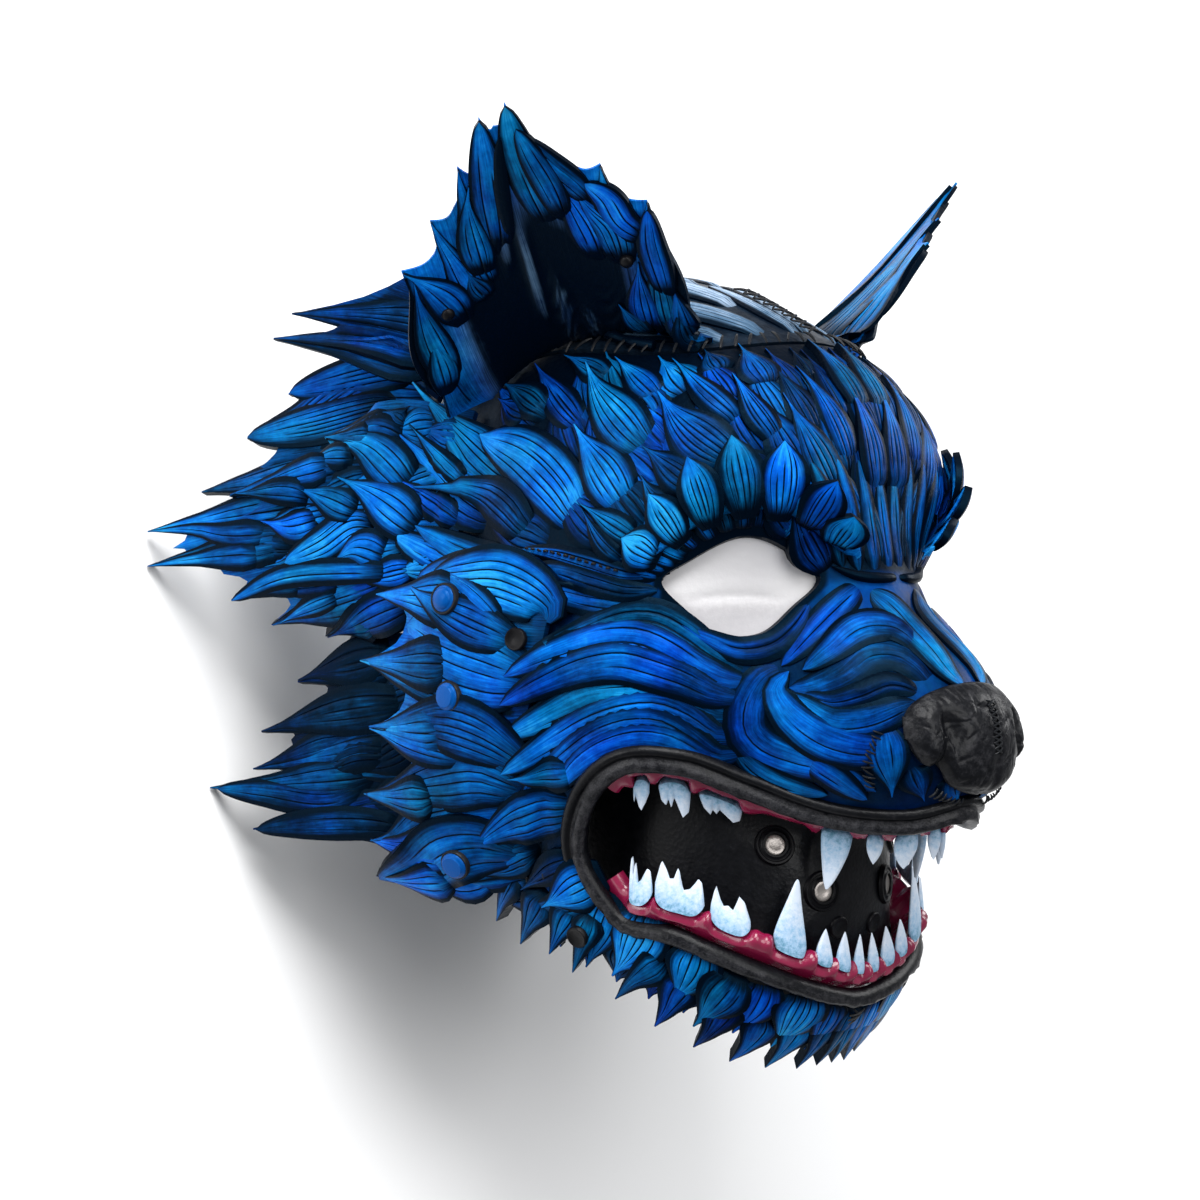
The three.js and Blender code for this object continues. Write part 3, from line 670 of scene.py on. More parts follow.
def placeCamera():
    psi = math.radians(view["turn"])
    back = np.array([math.sin(psi), math.cos(psi), 0.0])
    right = np.array([-math.cos(psi), math.sin(psi), 0.0])
    up = np.array([0.0, 0.0, 1.0])
    at = laidDown(np.array(view["target"]) + back * view["far"])
    axes = [Vector(turned(way)) for way in (right, up, back)]
    data = bpy.data.cameras.new("photoCamera")
    data.sensor_width = 36.0
    data.lens = 36.0 * view["focal"] / view["width"]
    data.clip_start, data.clip_end = 0.05, 60.0
    camera = placed("photoCamera", data)
    turn = Matrix((axes[0], axes[1], axes[2])).transposed().to_4x4()
    camera.matrix_world = Matrix.Translation(Vector(at)) @ turn
    bpy.context.scene.camera = camera


# Soft boxes, each placed from the middle of the mask along a way in the head frame
studio = {
    "floor": (0.93, 0.93, 0.93),
    "half": 6.0,
    "world": ((0.95, 0.97, 1.0), 0.32),
    "lights": {
        "topBox": ((0.45, 0.55, 1.0), 1.5, 1.1, 30.0),
        "frontBox": ((0.2, 1.0, 0.25), 1.7, 1.2, 14.0),
        "sideBox": ((1.0, -0.1, 0.35), 1.6, 0.9, 12.0),
        "farBox": ((-0.9, 0.5, 0.5), 1.6, 0.8, 10.0),
    },
}


def setStudio():
    bpy.context.scene.view_settings.view_transform = "Standard"
    middle = Vector(((cadBox[0] + cadBox[1]) / 2))
    world = bpy.data.worlds.new("studioWorld")
    world.use_nodes = True
    colour, strength = studio["world"]
    setSockets(world.node_tree.nodes["Background"], {"Color": opaque(colour), "Strength": strength})
    bpy.context.scene.world = world
    for name, (way, far, size, power) in studio["lights"].items():
        data = bpy.data.lights.new(name, "AREA")
        data.shape = "DISK"
        data.size = size
        data.energy = power
        light = placed(name, data)
        at = middle + Vector(turned(unit(way))) * far
        light.location = at
        light.rotation_euler = (at - middle).to_track_quat("Z", "Y").to_euler()
    corners = np.array([(-1, -1, 0), (1, -1, 0), (1, 1, 0), (-1, 1, 0)]) * studio["half"]
    mesh = bpy.data.meshes.new("floor")
    mesh.from_pydata(corners, [], [(0, 1, 2, 3)])
    floor = placed("floor", mesh)
    material, _, shader = newMaterial("floorPaper")
    setSockets(shader, {"Base Color": opaque(studio["floor"]), "Roughness": 0.9})
    mesh.materials.append(material)


placeCamera()
setStudio()
print("camera and studio set")

# The carving of fur. A lock is a crowned leaf with bevelled sides that rises from its root to its
# tip, with hair lines cut along it. Every lock of one call has the same number of cuts.
leafLook = {
    "crown": 1.2,        # mm the middle stands above the sides
    "rise": 1.7,         # mm from the root to the tip
    "lift": 0.3,         # mm of the root above the hide
    "stagger": 0.9,      # mm by which neighbours differ
    "sink": 2.6,         # mm that the sides go down into the hide
    "depth": 0.5,        # mm depth of a hair line
    "cutHalf": 0.6,      # mm, half the width of a hair line
    "rows": 12,
    "shape": "lens",
    "light": 0.5,
    "lightSpread": 0.30,
    "shade": 0.0,        # how much black lies over the whole leaf
    "grey": 0.0,
    "edgeDark": 1.0,
    "rootDark": 0.8,
    "rootSink": 3.0,     # mm by which the root goes under
    # At its sides a leaf has a black outline, then painted shade that fades in over about 5 mm
    "sides": ((0.0, 1.0), (0.0, 1.0), (1.1, 1.0), (2.7, 0.55), (5.4, 0.2)),  # mm in from the side, how black
}

outlines = {
    "lens": lambda v: (1 - v ** 2.2) * (0.2 + 0.8 * np.sin(np.pi * np.minimum(v / 0.85, 1.0))),
    "petal": lambda v: (1 - v ** 2.2) * (0.44 + 0.56 * np.sin(np.pi * np.minimum(v / 0.85, 1.0))),
    "band": lambda v: np.maximum(np.sin(np.pi * (0.005 + 0.995 * v) ** 0.85), 0.0) ** 0.55,
    "spade": lambda v: (1 - v ** 6) * (0.4 + 0.6 * np.sin(np.pi * np.minimum(v / 1.1, 1.0))),
    "flame": lambda v: (
        (1 - v ** 1.5) * (0.75 + 0.25 * np.sin(np.pi * np.minimum(v / 0.6, 1.0))) * (0.35 + 0.65 * ramp(v, 0.0, 0.25))
    ),
}


def perLeaf(value):
    return value[:, None, None] if isinstance(value, np.ndarray) else value


def carveLeaves(path, normals, wide, cuts, rng, seat=None, **changes):
    look = {**leafLook, **changes}
    count, rows = path.shape[:2]
    v = np.linspace(0.0, 1.0, rows)
    along = unit(np.gradient(path, axis=1))
    side = unit(np.cross(along, normals))
    outline = outlines[look["shape"]](v)
    outline = np.maximum(outline / outline.max(), 0.03)
    half = wide[:, None] / 2.0 * outline
    # Columns across the leaf, as (place, hair line, how black): its side, each hair line, and its side
    centres = ((np.arange(cuts) + 0.5) / cuts * 1.24 - 0.62) if cuts else np.zeros(0)
    centres = centres + rng.uniform(-0.25, 0.25, (count, cuts)) / max(cuts, 1)
    w = look["cutHalf"] * 2.0 / wide
    inward = [np.maximum(1.0 - far * 2.0 / wide, 0.5 - 0.04 * k) for k, (far, _) in enumerate(look["sides"])]
    back = [(at, 0, dark) for at, (_, dark) in zip(inward, look["sides"])][::-1]
    columns = [(-at, 0, dark) for at, _, dark in back[::-1]]
    for k in range(cuts):
        here = centres[:, k]
        if k:
            columns.append(((centres[:, k - 1] + here) / 2.0, 0, 0.0))
        columns += [(here - w, 0, 0.0), (here, k + 1, 0.0), (here + w, 0, 0.0)]
    across, groove, edge = zip(*columns, *back)
    u = np.sort(np.stack(across, 1), axis=1)[:, None, :]
    edge = np.array(edge)
    flat = path[:, :, None, :] + side[:, :, None, :] * (half[:, :, None] * u)[..., None]
    if seat is not None:
        flat = seat(flat)
    crown = look["crown"] * (half / (wide[:, None] / 2.0))[:, :, None] * (1 - np.abs(u) ** 2.6)
    stagger = rng.uniform(0.0, look["stagger"], count)[:, None, None]
    height = perLeaf(look["lift"]) + stagger + look["rise"] * (v ** 1.4)[None, :, None] + crown
    starts = rng.uniform(0.03, 0.25, (count, cuts))
    stops = rng.uniform(0.55, 0.97, (count, cuts))
    strength = np.zeros(height.shape)
    for column, k in enumerate(groove):
        if k:
            from_, to = starts[:, k - 1, None], stops[:, k - 1, None]
            strength[:, :, column] = ramp(v, from_ - 0.06, from_ + 0.06) * (1 - ramp(v, to - 0.16, to + 0.04))
    height = height - look["rootSink"] * (1 - ramp(v, 0.0, 0.16))[None, :, None]
    height = height - look["depth"] * strength * np.minimum(outline * 1.6, 1.0)[None, :, None]
    height[:, :, [0, -1]] = -look["sink"]
    rings = flat + normals[:, :, None, :] * height[..., None]
    tone = perLeaf(look["light"]) + rng.uniform(-0.5, 0.5, count)[:, None, None] * look["lightSpread"]
    # Painted highlight along the middle of each leaf and painted shade at its sides; each leaf also grows lighter
    # towards its tip
    tone = tone + 0.22 * (v - 0.45)[None, :, None] + 0.09 - 0.34 * np.abs(u) ** 2.2
    # A little black at the tip, and painted shade at the root, where another leaf lies over it
    tip = ramp(v, 0.86, 1.0)[None, :, None] * 0.3
    root = look["rootDark"] * (1 - ramp(v, 0.0, 0.38))[None, :, None]
    # The black of a point: hair lines and outlines are black cuts; the fading sides, the root and the shade over a
    # whole leaf are painted shade
    dark = [strength, edge[None, None, :] * look["edgeDark"], root, tip, perLeaf(look["shade"])]
    cut = np.maximum.reduce([np.broadcast_to(value, strength.shape) for value in dark])
    across = u * wide[:, None, None] / 2.0 + 0 * cut
    length = np.linalg.norm(np.diff(path, axis=1), axis=-1).sum(1)
    along = v[None, :, None] * length[:, None, None] + 0 * cut
    number = np.arange(count)[:, None, None] * 7.3 + 0 * cut
    grey = np.broadcast_to(perLeaf(look["grey"]), cut.shape)
    return tubesFrom(rings, np.stack([cut, tone + 0 * cut, grey, across, along, number], -1))


# placeAt gives the points and the normals of marks
laidLook = {"rows": {"band": 24, "petal": 15, "flame": 13}, "lift": 0.9, "layer": 0.4, "layers": 4}


def laidLeaves(leaves, placeAt, rng, seat=None, **changes):
    forms = []
    look = {"stagger": 0.0, "lightSpread": 0.08, **changes}
    base, layer = look.pop("lift", laidLook["lift"]), look.pop("layer", laidLook["layer"])
    for outline, cuts in sorted({(leaf[0], int(leaf[2])) for leaf in leaves.values()}):
        paths, numbers = [], []
        for k, (kind, wide, lines, light, shade, marks) in enumerate(leaves.values()):
            if (kind, lines) != (outline, cuts):
                continue
            spots = smoothRun(np.hstack(placeAt(np.array(marks, dtype=float))), np.linspace(0, 1, 120))
            far = lengthsAlong(spots[:, :3])
            at = np.linspace(0, far[-1], laidLook["rows"][outline])
            paths.append(np.stack([np.interp(at, far, spots[:, c]) for c in range(6)], -1))
            numbers.append((wide, light, shade, base + layer * (k % laidLook["layers"])))
        paths = np.stack(paths)
        wide, light, shade, lift = np.array(numbers, dtype=float).T
        forms.append(carveLeaves(
            paths[..., :3], unit(paths[..., 3:]), wide, cuts, rng, seat=seat, shape=outline,
            light=light, shade=shade, lift=lift, **look,
        ))
    return together(*forms)


def onHide(marks):
    places = onHead(marks[:, 0], marks[:, 1], marks[:, 2] if marks.shape[1] > 2 else 0.0)
    return places, headNormal(places)


# How near each point is to the middle line of a laid leaf, in halves of that leaf's width
def nearLaid(leaves, points):
    near = np.full(len(points), 9.0)
    for _, wide, _, _, _, marks in leaves.values():
        line = onHide(smoothRun(marks, np.linspace(0, 1, 24)))[0]
        away = np.linalg.norm(points[:, None, :] - line[None], axis=-1).min(1)
        near = np.minimum(near, away / (wide / 2.0))
    return near


# The seams and openings of the hide, as elevation for an azimuth
hairline = edgeThrough([(0, 54), (38, 53.5), (75, 58), (95, 57), (112, 50)])
jawSeam = edgeThrough([(0, -42), (66, -42), (76, -46), (90, -50), (104, -49), (112, -46)])
jawEdge = edgeThrough([(0, -59.5), (40, -60), (60, -59.5), (80, -57), (104, -51)])
faceBack, jawBack, seamGap, hideThick = 112.0, 104.0, 0.5, 3.4

lipMarks = [
    (0, -24.5), (9, -28), (21, -31), (32, -30), (45, -26), (57, -26),
    (66, -33), (70, -44), (61, -52), (45, -51.5), (30, -52.5), (15, -54.5), (0, -56),
]
lipRadius = 5.4
fullLip = smoothRun(lipMarks + [(-a, e) for a, e in lipMarks[-2:0:-1]], np.linspace(0, 1, 2601), closed=True)
lipLengths = lengthsAlong(fullLip)


def lipAngles(t):
    far = np.mod(t, 1.0) * lipLengths[-1]
    return np.stack([np.interp(far, lipLengths, fullLip[:, k]) for k in (0, 1)], -1)


def lipPoint(t, outward, lift):
    t = np.asarray(t, dtype=float)
    at, before, after = lipAngles(t), lipAngles(t - 0.004), lipAngles(t + 0.004)
    place = onHead(at[..., 0], at[..., 1])
    along = unit(onHead(after[..., 0], after[..., 1]) - onHead(before[..., 0], before[..., 1]))
    out = unit(np.cross(along, direction(at[..., 0], at[..., 1])))
    off = unit(np.cross(out, along))
    return place + out * np.asarray(outward)[..., None] + off * np.asarray(lift)[..., None]


def outlineAngles(points):
    az, el, _ = anglesOf(points)
    return np.stack([az, el], -1)


eyeMarks = [(49, 9), (43, 13), (33, 16.5), (24, 14.5), (16, 9), (21, 3.5), (28, -2), (37, -2), (44, 3)]
eyeOutline = smoothRun(eyeMarks, np.linspace(0, 1, 73)[:-1], closed=True)
mouthOutline = outlineAngles(lipPoint(np.linspace(0, 1, 121)[:-1], lipRadius - 0.9, 0.0))


def insideOutline(outline, az, el):
    inside = np.zeros(np.shape(az), dtype=bool)
    for (a0, e0), (a1, e1) in zip(outline, np.roll(outline, -1, 0)):
        crosses = (e0 > el) != (e1 > el)
        with np.errstate(divide="ignore", invalid="ignore"):
            at = (a1 - a0) * (el - e0) / (e1 - e0) + a0
        inside ^= crosses & (az < at)
    return inside


def gapTo(outline, az, el):
    away = np.stack([az, el], -1)[..., None, :] - outline
    away[..., 0] *= np.cos(np.radians(el))[..., None]
    return np.linalg.norm(away, axis=-1).min(-1)


# How the fur runs on the right side: the length, width and rise of its locks there in mm, their light
# and shade, and marks from root to tip
furRuns = tableOf("""
browMiddle 46 15 2.2 .34 .22  4 11  6 22  11 34  14 47
browInner 46 18 2.4 .42 .12  10 12  19 22  26 34  31 48
overEye 42 23 2.6 .5 .08  28 20  36 28  43 39  52 51
overEyeBack 42 24 2.6 .42 .16  42 22  50 30  61 43  70 54
sideBrow 50 25 2.6 .34 .26  54 18  63 29  69 41  78 53
temple 76 28 2.6 .62 0  62 18  73 28  89 38  104 44
templeLow 70 26 2.4 .62 0  74 18  88 25  104 32
eyeCorner 54 13 1.6 .32 .36  49 10  58 12  71 17  90 20
eyeLow 80 16 1.6 .5 .12  45 2  58 3  70 7  90 12
cheekTop 84 17 1.4 .66 0  32 -9  43 -3  53 0  64 -3  76 -8
cheekHigh 84 17 1.4 .62 0  34 -13  45 -9  55 -7  66 -12  80 -14
cheekMid 78 18 1.5 .62 0  34 -18  45 -13  53 -13  64 -19  80 -22
cheekLow 70 18 1.6 .6 0  34 -22  43 -19  53 -19  62 -24  78 -29
cheekLip 60 16 1.6 .56 .05  37 -26  47 -22  58 -22  67 -29  82 -34
cornerHigh 42 22 2.2 .5 .05  72 -34  82 -36  100 -38
""")


def runSamples(runs, each=9):
    places, ways, sizes = [], [], []
    for run in runs.values():
        marks = smoothRun(run[5], np.linspace(0, 1, each))
        at = onHead(marks[:, 0], marks[:, 1])
        places.append(at)
        ways.append(unit(np.gradient(at, axis=0)))
        sizes.append(np.tile(run[:5], (each, 1)))
    return np.concatenate(places), np.concatenate(ways), np.concatenate(sizes)


def alongHide(points, way):
    normal = headNormal(points)
    return unit(way - normal * dot(way, normal)[:, None])


# A flow gives, for points on the hide, which way the fur runs and the [length, width, rise] of a lock
def flowOf(runs):
    places, ways, sizes = runSamples(runs)

    def flow(points):
        gap = ((points[:, None, :] - places[None]) ** 2).sum(-1)
        weight = 1.0 / (gap + 20.0) ** 2
        weight /= weight.sum(1, keepdims=True)
        return alongHide(points, weight @ ways), weight @ sizes

    return flow


# Roots spread over the hide so that locks overlap like scales
def spreadRoots(flow, candidates, alongShare=0.44, acrossShare=0.60):
    way, size = flow(candidates)
    normal = headNormal(candidates)
    side = np.cross(way, normal)
    smooth = 1.0 - ramp(size[:, 2], 1.4, 2.2)  # smooth bands lie wider apart than petals
    far = size[:, 0] * (alongShare + 0.10 * smooth)
    wide = size[:, 1] * (acrossShare + 0.14 * smooth)
    kept = []
    for k in range(len(candidates)):
        if kept:
            away = candidates[k] - candidates[kept]
            along = dot(away, way[kept]) / far[kept]
            across = dot(away, side[kept]) / wide[kept]
            off = dot(away, normal[kept]) / (size[kept, 1] * 1.2)
            if np.min(along ** 2 + across ** 2 + off ** 2) < 1.0:
                continue
        kept.append(k)
    return candidates[kept], size[kept]


def traceLocks(flow, roots, long, steps):
    places = [roots]
    for _ in range(steps - 1):
        way, _ = flow(places[-1])
        places.append(ontoHead(places[-1] + way * (long / (steps - 1))[:, None]))
    return np.stack(places, 1)


# Manes, cheek plates and tufts: jagged sheets that fan out from a root line on the head. Odd ends
# are tips. tipLocks start at this share of the way out; rows are [from, to, how many, width].
# A band's sides: a black outline, then painted shade that fades in
bandSides = ((0, 1), (0, 1), (1.0, 1.0), (2.5, 0.55), (5.2, 0.2))
fans = {
    "mane_upper": dict(
        roots=marksOf("108 44  106 30  105 16  105 1"),
        ends=marksOf("""
            112 -74 88  121 -96 72  126 -104 60  140 -140 47  139 -134 38  150 -187 32  148 -173 24  150 -187 16
            140 -146 12  135 -145 1  130 -119 3  123 -131 -10  118 -108 -6  115 -104 -14  110 -76 -4
        """, 3),
        bow=5, thick=3.4, tips=0.45, tipWide=20,
        rows=[(0.36, 0.78, 6, 19), (0.18, 0.55, 6, 20), (0.0, 0.34, 5, 20)], light=0.5,
    ),
    "mane_back": dict(
        roots=marksOf("140 48  136 41  132 34  128 27"),
        ends=marksOf("""
            82 -112 118  100 -146 96  99 -138 88  112 -161 75  110 -145 68  122 -182 50  115 -140 50  106 -112 50
        """, 3),
        bow=4, thick=3.4, tips=0.3, tipWide=24, rows=[(0.0, 0.6, 4, 20)], light=0.4,
    ),
    # The lower mane has a low light: it is painted darker than the others, in part as painted shade
    "mane_lower": dict(
        roots=marksOf("115 -3  111 -18  109 -34  104 -44"),
        ends=marksOf("""
            106 -94 -14  118 -118 -38  114 -104 -42  124 -136 -61  120 -122 -64  127 -139 -78  121 -122 -82
            135 -160 -87  119 -114 -98  128 -138 -105  112 -92 -108  104 -70 -114
        """, 3),
        bow=3, thick=3.4, tips=0.3, tipWide=22, rows=[(0.1, 0.6, 6, 18), (0.0, 0.4, 5, 18)], light=0.22,
    ),
    "cheek": dict(
        roots=marksOf("72 9  75 -8  80 -26  84 -42  88 -49"),
        ends=marksOf("""
            117 -38 9  122 -60 2  117 -48 -10  124 -68 -27  117 -48 -40  124 -62 -56  116 -44 -70  122 -68 -86
            117 -50 -92  120 -66 -106  113 -46 -108  114 -70 -121  103 -34 -116
        """, 3),
        bow=7, thick=3.4, tips=0.38, tipWide=24, rows=[(0.12, 0.78, 5, 27), (0.0, 0.5, 6, 24)], light=0.55,
        under=-1.9,
        carving=dict(layer=0.65, crown=1.0, rise=0.6, rootDark=0.45, rootSink=1.6, sides=bandSides),
    ),
    "ear_tuft": dict(
        roots=marksOf("115 58  118 52  121 46"),
        ends=marksOf("98 -66 147  110 -132 133  106 -104 126  112 -143 121  100 -78 120  94 -66 118", 3),
        bow=5, thick=2.4, tips=0.1, tipWide=24, rows=[], light=0.4,
    ),
    "brow_tuft": dict(
        roots=marksOf("53 12  41 18.5  26 19.5  12 13"),
        ends=marksOf("""
            90 62 14  93 60 25  88 70 26  90 72 43  83 84 36  84 88 58  76 98 48  74 103 68  66 110 50  60 120 66
            54 124 44  46 137 50  42 128 34  36 137 36  22 130 18
        """, 3),
        bow=2, thick=2.4, tips=-0.1, tipWide=21, tipCuts=5, tipShape="spade", rows=[], light=0.62,
    ),
}
fanLeaves = {
    "cheek": tableOf("""
topEdge band 26 3 .42 .05  0 .04  0 .46  0 .92  .02 .99
fanLeaf band 31 5 .6 0  .13 0  .09 0  .01 .31  .01 .57  .01 .86
underStud petal 14 2 .4 .15  .16 .21  .08 .34  0 .71  0 .97
behindStud petal 23 4 .42 .1  .19 .16  .15 .42  .1 .63  .05 .89  .03 .99
broad band 42 4 .62 0  .31 0  .3 .03  .27 .22  .22 .56  .17 .94
hookOne petal 22 4 .58 0  .34 .4  .28 .71  .27 .86  .25 .99
lined petal 29 5 .38 .1  .52 0  .45 .19  .4 .43  .4 .77  .415 .99
hookTwo petal 19 3 .5 0  .48 .43  .45 .7  .44 .86  .42 .99
dotted petal 31 4 .38 .05  .61 0  .54 .28  .54 .6  .56 .86  .585 .99
hookThree petal 18 3 .42 .05  .62 .41  .67 .77  .72 .95  .75 .99
low band 33 3 .5 0  .84 .02  .75 .22  .76 .46  .86 .82  .915 .97
"""),
    "mane_upper": tableOf("""
rearTop petal 21 4 .4 .1  .14 .34  .1 .57  .072 .97
rearFill petal 21 3 .45 .1  .64 .26  .58 .39  .61 .53
darkBack flame 15 3 .3 .1  .1 .6  .072 .99
hookBack flame 17 2 .5 0  .18 .62  .19 .8  .214 .99
behindLow flame 15 1 .4 .05  .64 .6  .64 .8  .643 .99
roundTop petal 24 3 .6 0  .36 .13  .22 .28  .13 .6  .072 .98
roundMid petal 25 3 .62 0  .55 .13  .42 .2  .32 .34  .23 .52
roundSmall petal 19 3 .5 0  .42 .31  .33 .47  .24 .74
roundBack petal 18 3 .5 0  .42 .44  .44 .55  .39 .68
curved band 19 4 .6 0  .5 .22  .47 .34  .54 .5  .58 .71
topSmall petal 14 2 .45 .1  .16 .6  .14 .82  .143 .97
topBack petal 14 2 .42 .1  .32 .55  .25 .78  .214 .97
striped petal 15 4 .4 .12  .54 .58  .49 .7  .5 .97
forkTop flame 15 1 .52 0  .46 .6  .42 .8  .38 .92  .357 .995
forkLow flame 15 1 .52 0  .54 .7  .51 .86  .5 .995
lowEdge band 13 1 .55 0  .73 .25  .66 .47  .62 .77  .643 .99
hanging petal 26 4 .5 .05  .77 .34  .78 .6  .785 .8  .786 .99
hangingLow petal 22 3 .42 .1  .88 .25  .91 .5  .925 .75  .929 .98
hangingInner petal 12 2 .6 0  .76 .6  .77 .8  .786 .95
"""),
    "mane_back": tableOf("""
low petal 24 4 .36 .1  .7 .1  .72 .5  .714 .97
striped band 25 6 .5 .05  .02 .4  .07 .59  .2 .7  .37 .85  .425 .97
stripedTop band 22 5 .5 .05  .02 .2  .06 .5  .12 .8  .143 .98
stripedLow band 23 6 .5 .05  .24 .17  .31 .38  .4 .66  .429 .99
"""),
    "mane_lower": tableOf("""
fill petal 22 4 .28 .15  .48 .21  .52 .39  .61 .48
fillLow petal 22 4 .3 .1  .73 .27  .74 .46  .73 .66
top petal 23 3 .24 .2  .06 .38  .07 .65  .08 .87  .09 .99
blue petal 24 3 .34 .05  .31 .22  .27 .49  .265 .8  .273 .99
small petal 15 2 .36 0  .43 .45  .41 .75  .43 .9  .455 .99
swirl petal 18 3 .3 .15  .53 .32  .48 .52  .52 .77  .61 .88
hook band 16 2 .5 0  .67 .43  .7 .75  .66 .92  .64 .99
low band 16 2 .46 0  .92 .5  .86 .63  .82 .8  .82 .99
"""),
    "ear_tuft": tableOf("""
upper flame 22 3 .45 0  .06 .12  .12 .5  .17 .78  .2 .99
lower flame 20 2 .4 0  .5 .12  .52 .5  .57 .8  .6 .99
"""),
    "brow_tuft": {},
}
fanLift = 3.8


fanHollow = 0.10  # how far the edge is hollowed between a tip and a notch, as a share of its reach


# Straight runs between ends that lie at even steps of t, and how far along each run a point is
def betweenEnds(ends, t):
    ends = np.array(ends, dtype=float)
    place = t * (len(ends) - 1)
    k = np.minimum(place.astype(int), len(ends) - 2)
    x = (place - k)[..., None]
    return ends[k] * (1 - x) + ends[k + 1] * x, x


def fanSurface(fan):

    def surface(t, s):
        t, s = np.clip(t, 0.0, 1.0), np.asarray(s, dtype=float)
        root = smoothRun(fan["roots"], t)
        root = onHead(root[..., 0], root[..., 1], fanLift)
        tip, x = betweenEnds(fan["ends"], t)
        reach = s[..., None] * (1 - fanHollow * np.sin(np.pi * x))
        outward = unit((root + tip) / 2.0 - headCentre)
        point = root + (tip - root) * reach + outward * fan["bow"] * np.sin(np.pi * np.clip(reach, 0.0, 1.0))
        return seated(point, fanLift)

    return surface, 1.0 / (len(fan["ends"]) - 1)


# The cheek plate and the mane start at these azimuths, and the face's locks lie over their edge
plateEdgeMarks = [(-49, 88), (-42, 84), (-26, 80), (-8, 75), (9, 72), (10, 103), (16, 105), (30, 106), (44, 108)]
plateEdge = lambda el: np.interp(el, *np.array(plateEdgeMarks).T)


def plateTops():
    samples = []
    for name in ("cheek", "mane_upper"):
        surface, step = fanSurface(fans[name])
        t, s = np.meshgrid(np.linspace(0, 1, 41), np.linspace(0, 0.6, 13), indexing="ij")
        az, el, far = anglesOf(surface(t, s))
        top = far - headRadius(az, el) + fans[name]["thick"] / 2.0 + 0.4
        samples.append(np.stack([az, el, top], -1).reshape(-1, 3))
    return np.concatenate(samples)


def overPlates(points):
    az, el, _ = anglesOf(points)
    side, sign = np.abs(az), np.sign(az)
    edge = plateEdge(el)
    near = side > edge - 10.0
    lift = np.zeros(az.shape)
    gap = (side[near][:, None] - tops[None, :, 0]) ** 2 + (el[near][:, None] - tops[None, :, 1]) ** 2
    weight = 1.0 / (gap + 1.0) ** 3
    lift[near] = (weight @ tops[:, 2]) / weight.sum(1) * ramp(side[near], edge[near] - 7.0, edge[near] - 0.5)
    return onHead(az, el, lift)


tops = plateTops()

faceFur = {"seed": 7, "muzzle": 30.0, "tries": 12000, "eyeGap": 1.4, "mouthGap": 2.4, "overlap": 13.0, "clear": 0.55}


faceLeaves = tableOf("""
templeWave band 31 6 .74 0  67.5 20.5  75.5 30  87.5 37  103 40
templeInner petal 27 5 .62 0  56 23.5  61 30.5  67 37  72 42
templeHigh petal 26 5 .58 0  51.5 33  58 40  66 47.5  73 54.5
templeFront petal 27 6 .5 .05  34.5 27.5  40.5 32.5  45.5 38  49.5 44
templeTop petal 17 3 .5 .05  49.5 43  56 49.5  63.5 55
templeRim petal 15 3 .4 .2  32.5 34.5  39 42  46 51.5
templeRimFront petal 15 4 .45 .1  26 31  29.5 37  32.5 45
templeShade petal 19 4 .3 .2  41.5 24  47 29  52.5 34
templeShadeLow petal 15 3 .3 .2  46 20.5  50.5 25  53 29
browBack petal 15 3 .4 .12  53.5 17  59.5 21  68 26
browBackLow petal 10 2 .3 .3  57 13  62 17  67.5 25
waveUnder petal 22 4 .42 .12  82 19.5  91 26.5  100 29.5  113.5 26.5
waveBack petal 15 3 .4 .1  104 22  111 25  118 27
backThin petal 11 2 .5 0  103.5 30  110 33  116.5 36
earFoot petal 16 3 .3 .3  88.5 44.5  95 46  101.5 47.5
earFootMid petal 18 4 .3 .3  82 45  92 48.5  102.5 50.5
earFootFront petal 18 4 .35 .25  69.5 41  80 48  93.5 55
earFootHigh petal 15 3 .34 .25  64 50.5  72.5 54  82.5 56.5
middleLow petal 19 4 .42 .1  3.2 23  3.8 32  5.4 42
middleHigh petal 19 4 .4 .15  3.6 37  4.4 45  6.4 53
middleSide petal 18 4 .46 .1  10 27  12.5 36  16.5 46
crease band 4.5 0 .1 .95  -.5 8.4  4 8.2  9 8.8  14 11
cornerHigh petal 17 2 .5 .08  67.5 -29  75 -30  83 -30
cornerMid petal 26 4 .62 0  69.5 -36.5  79.4 -37.5  89.4 -39.5  97 -42
""")
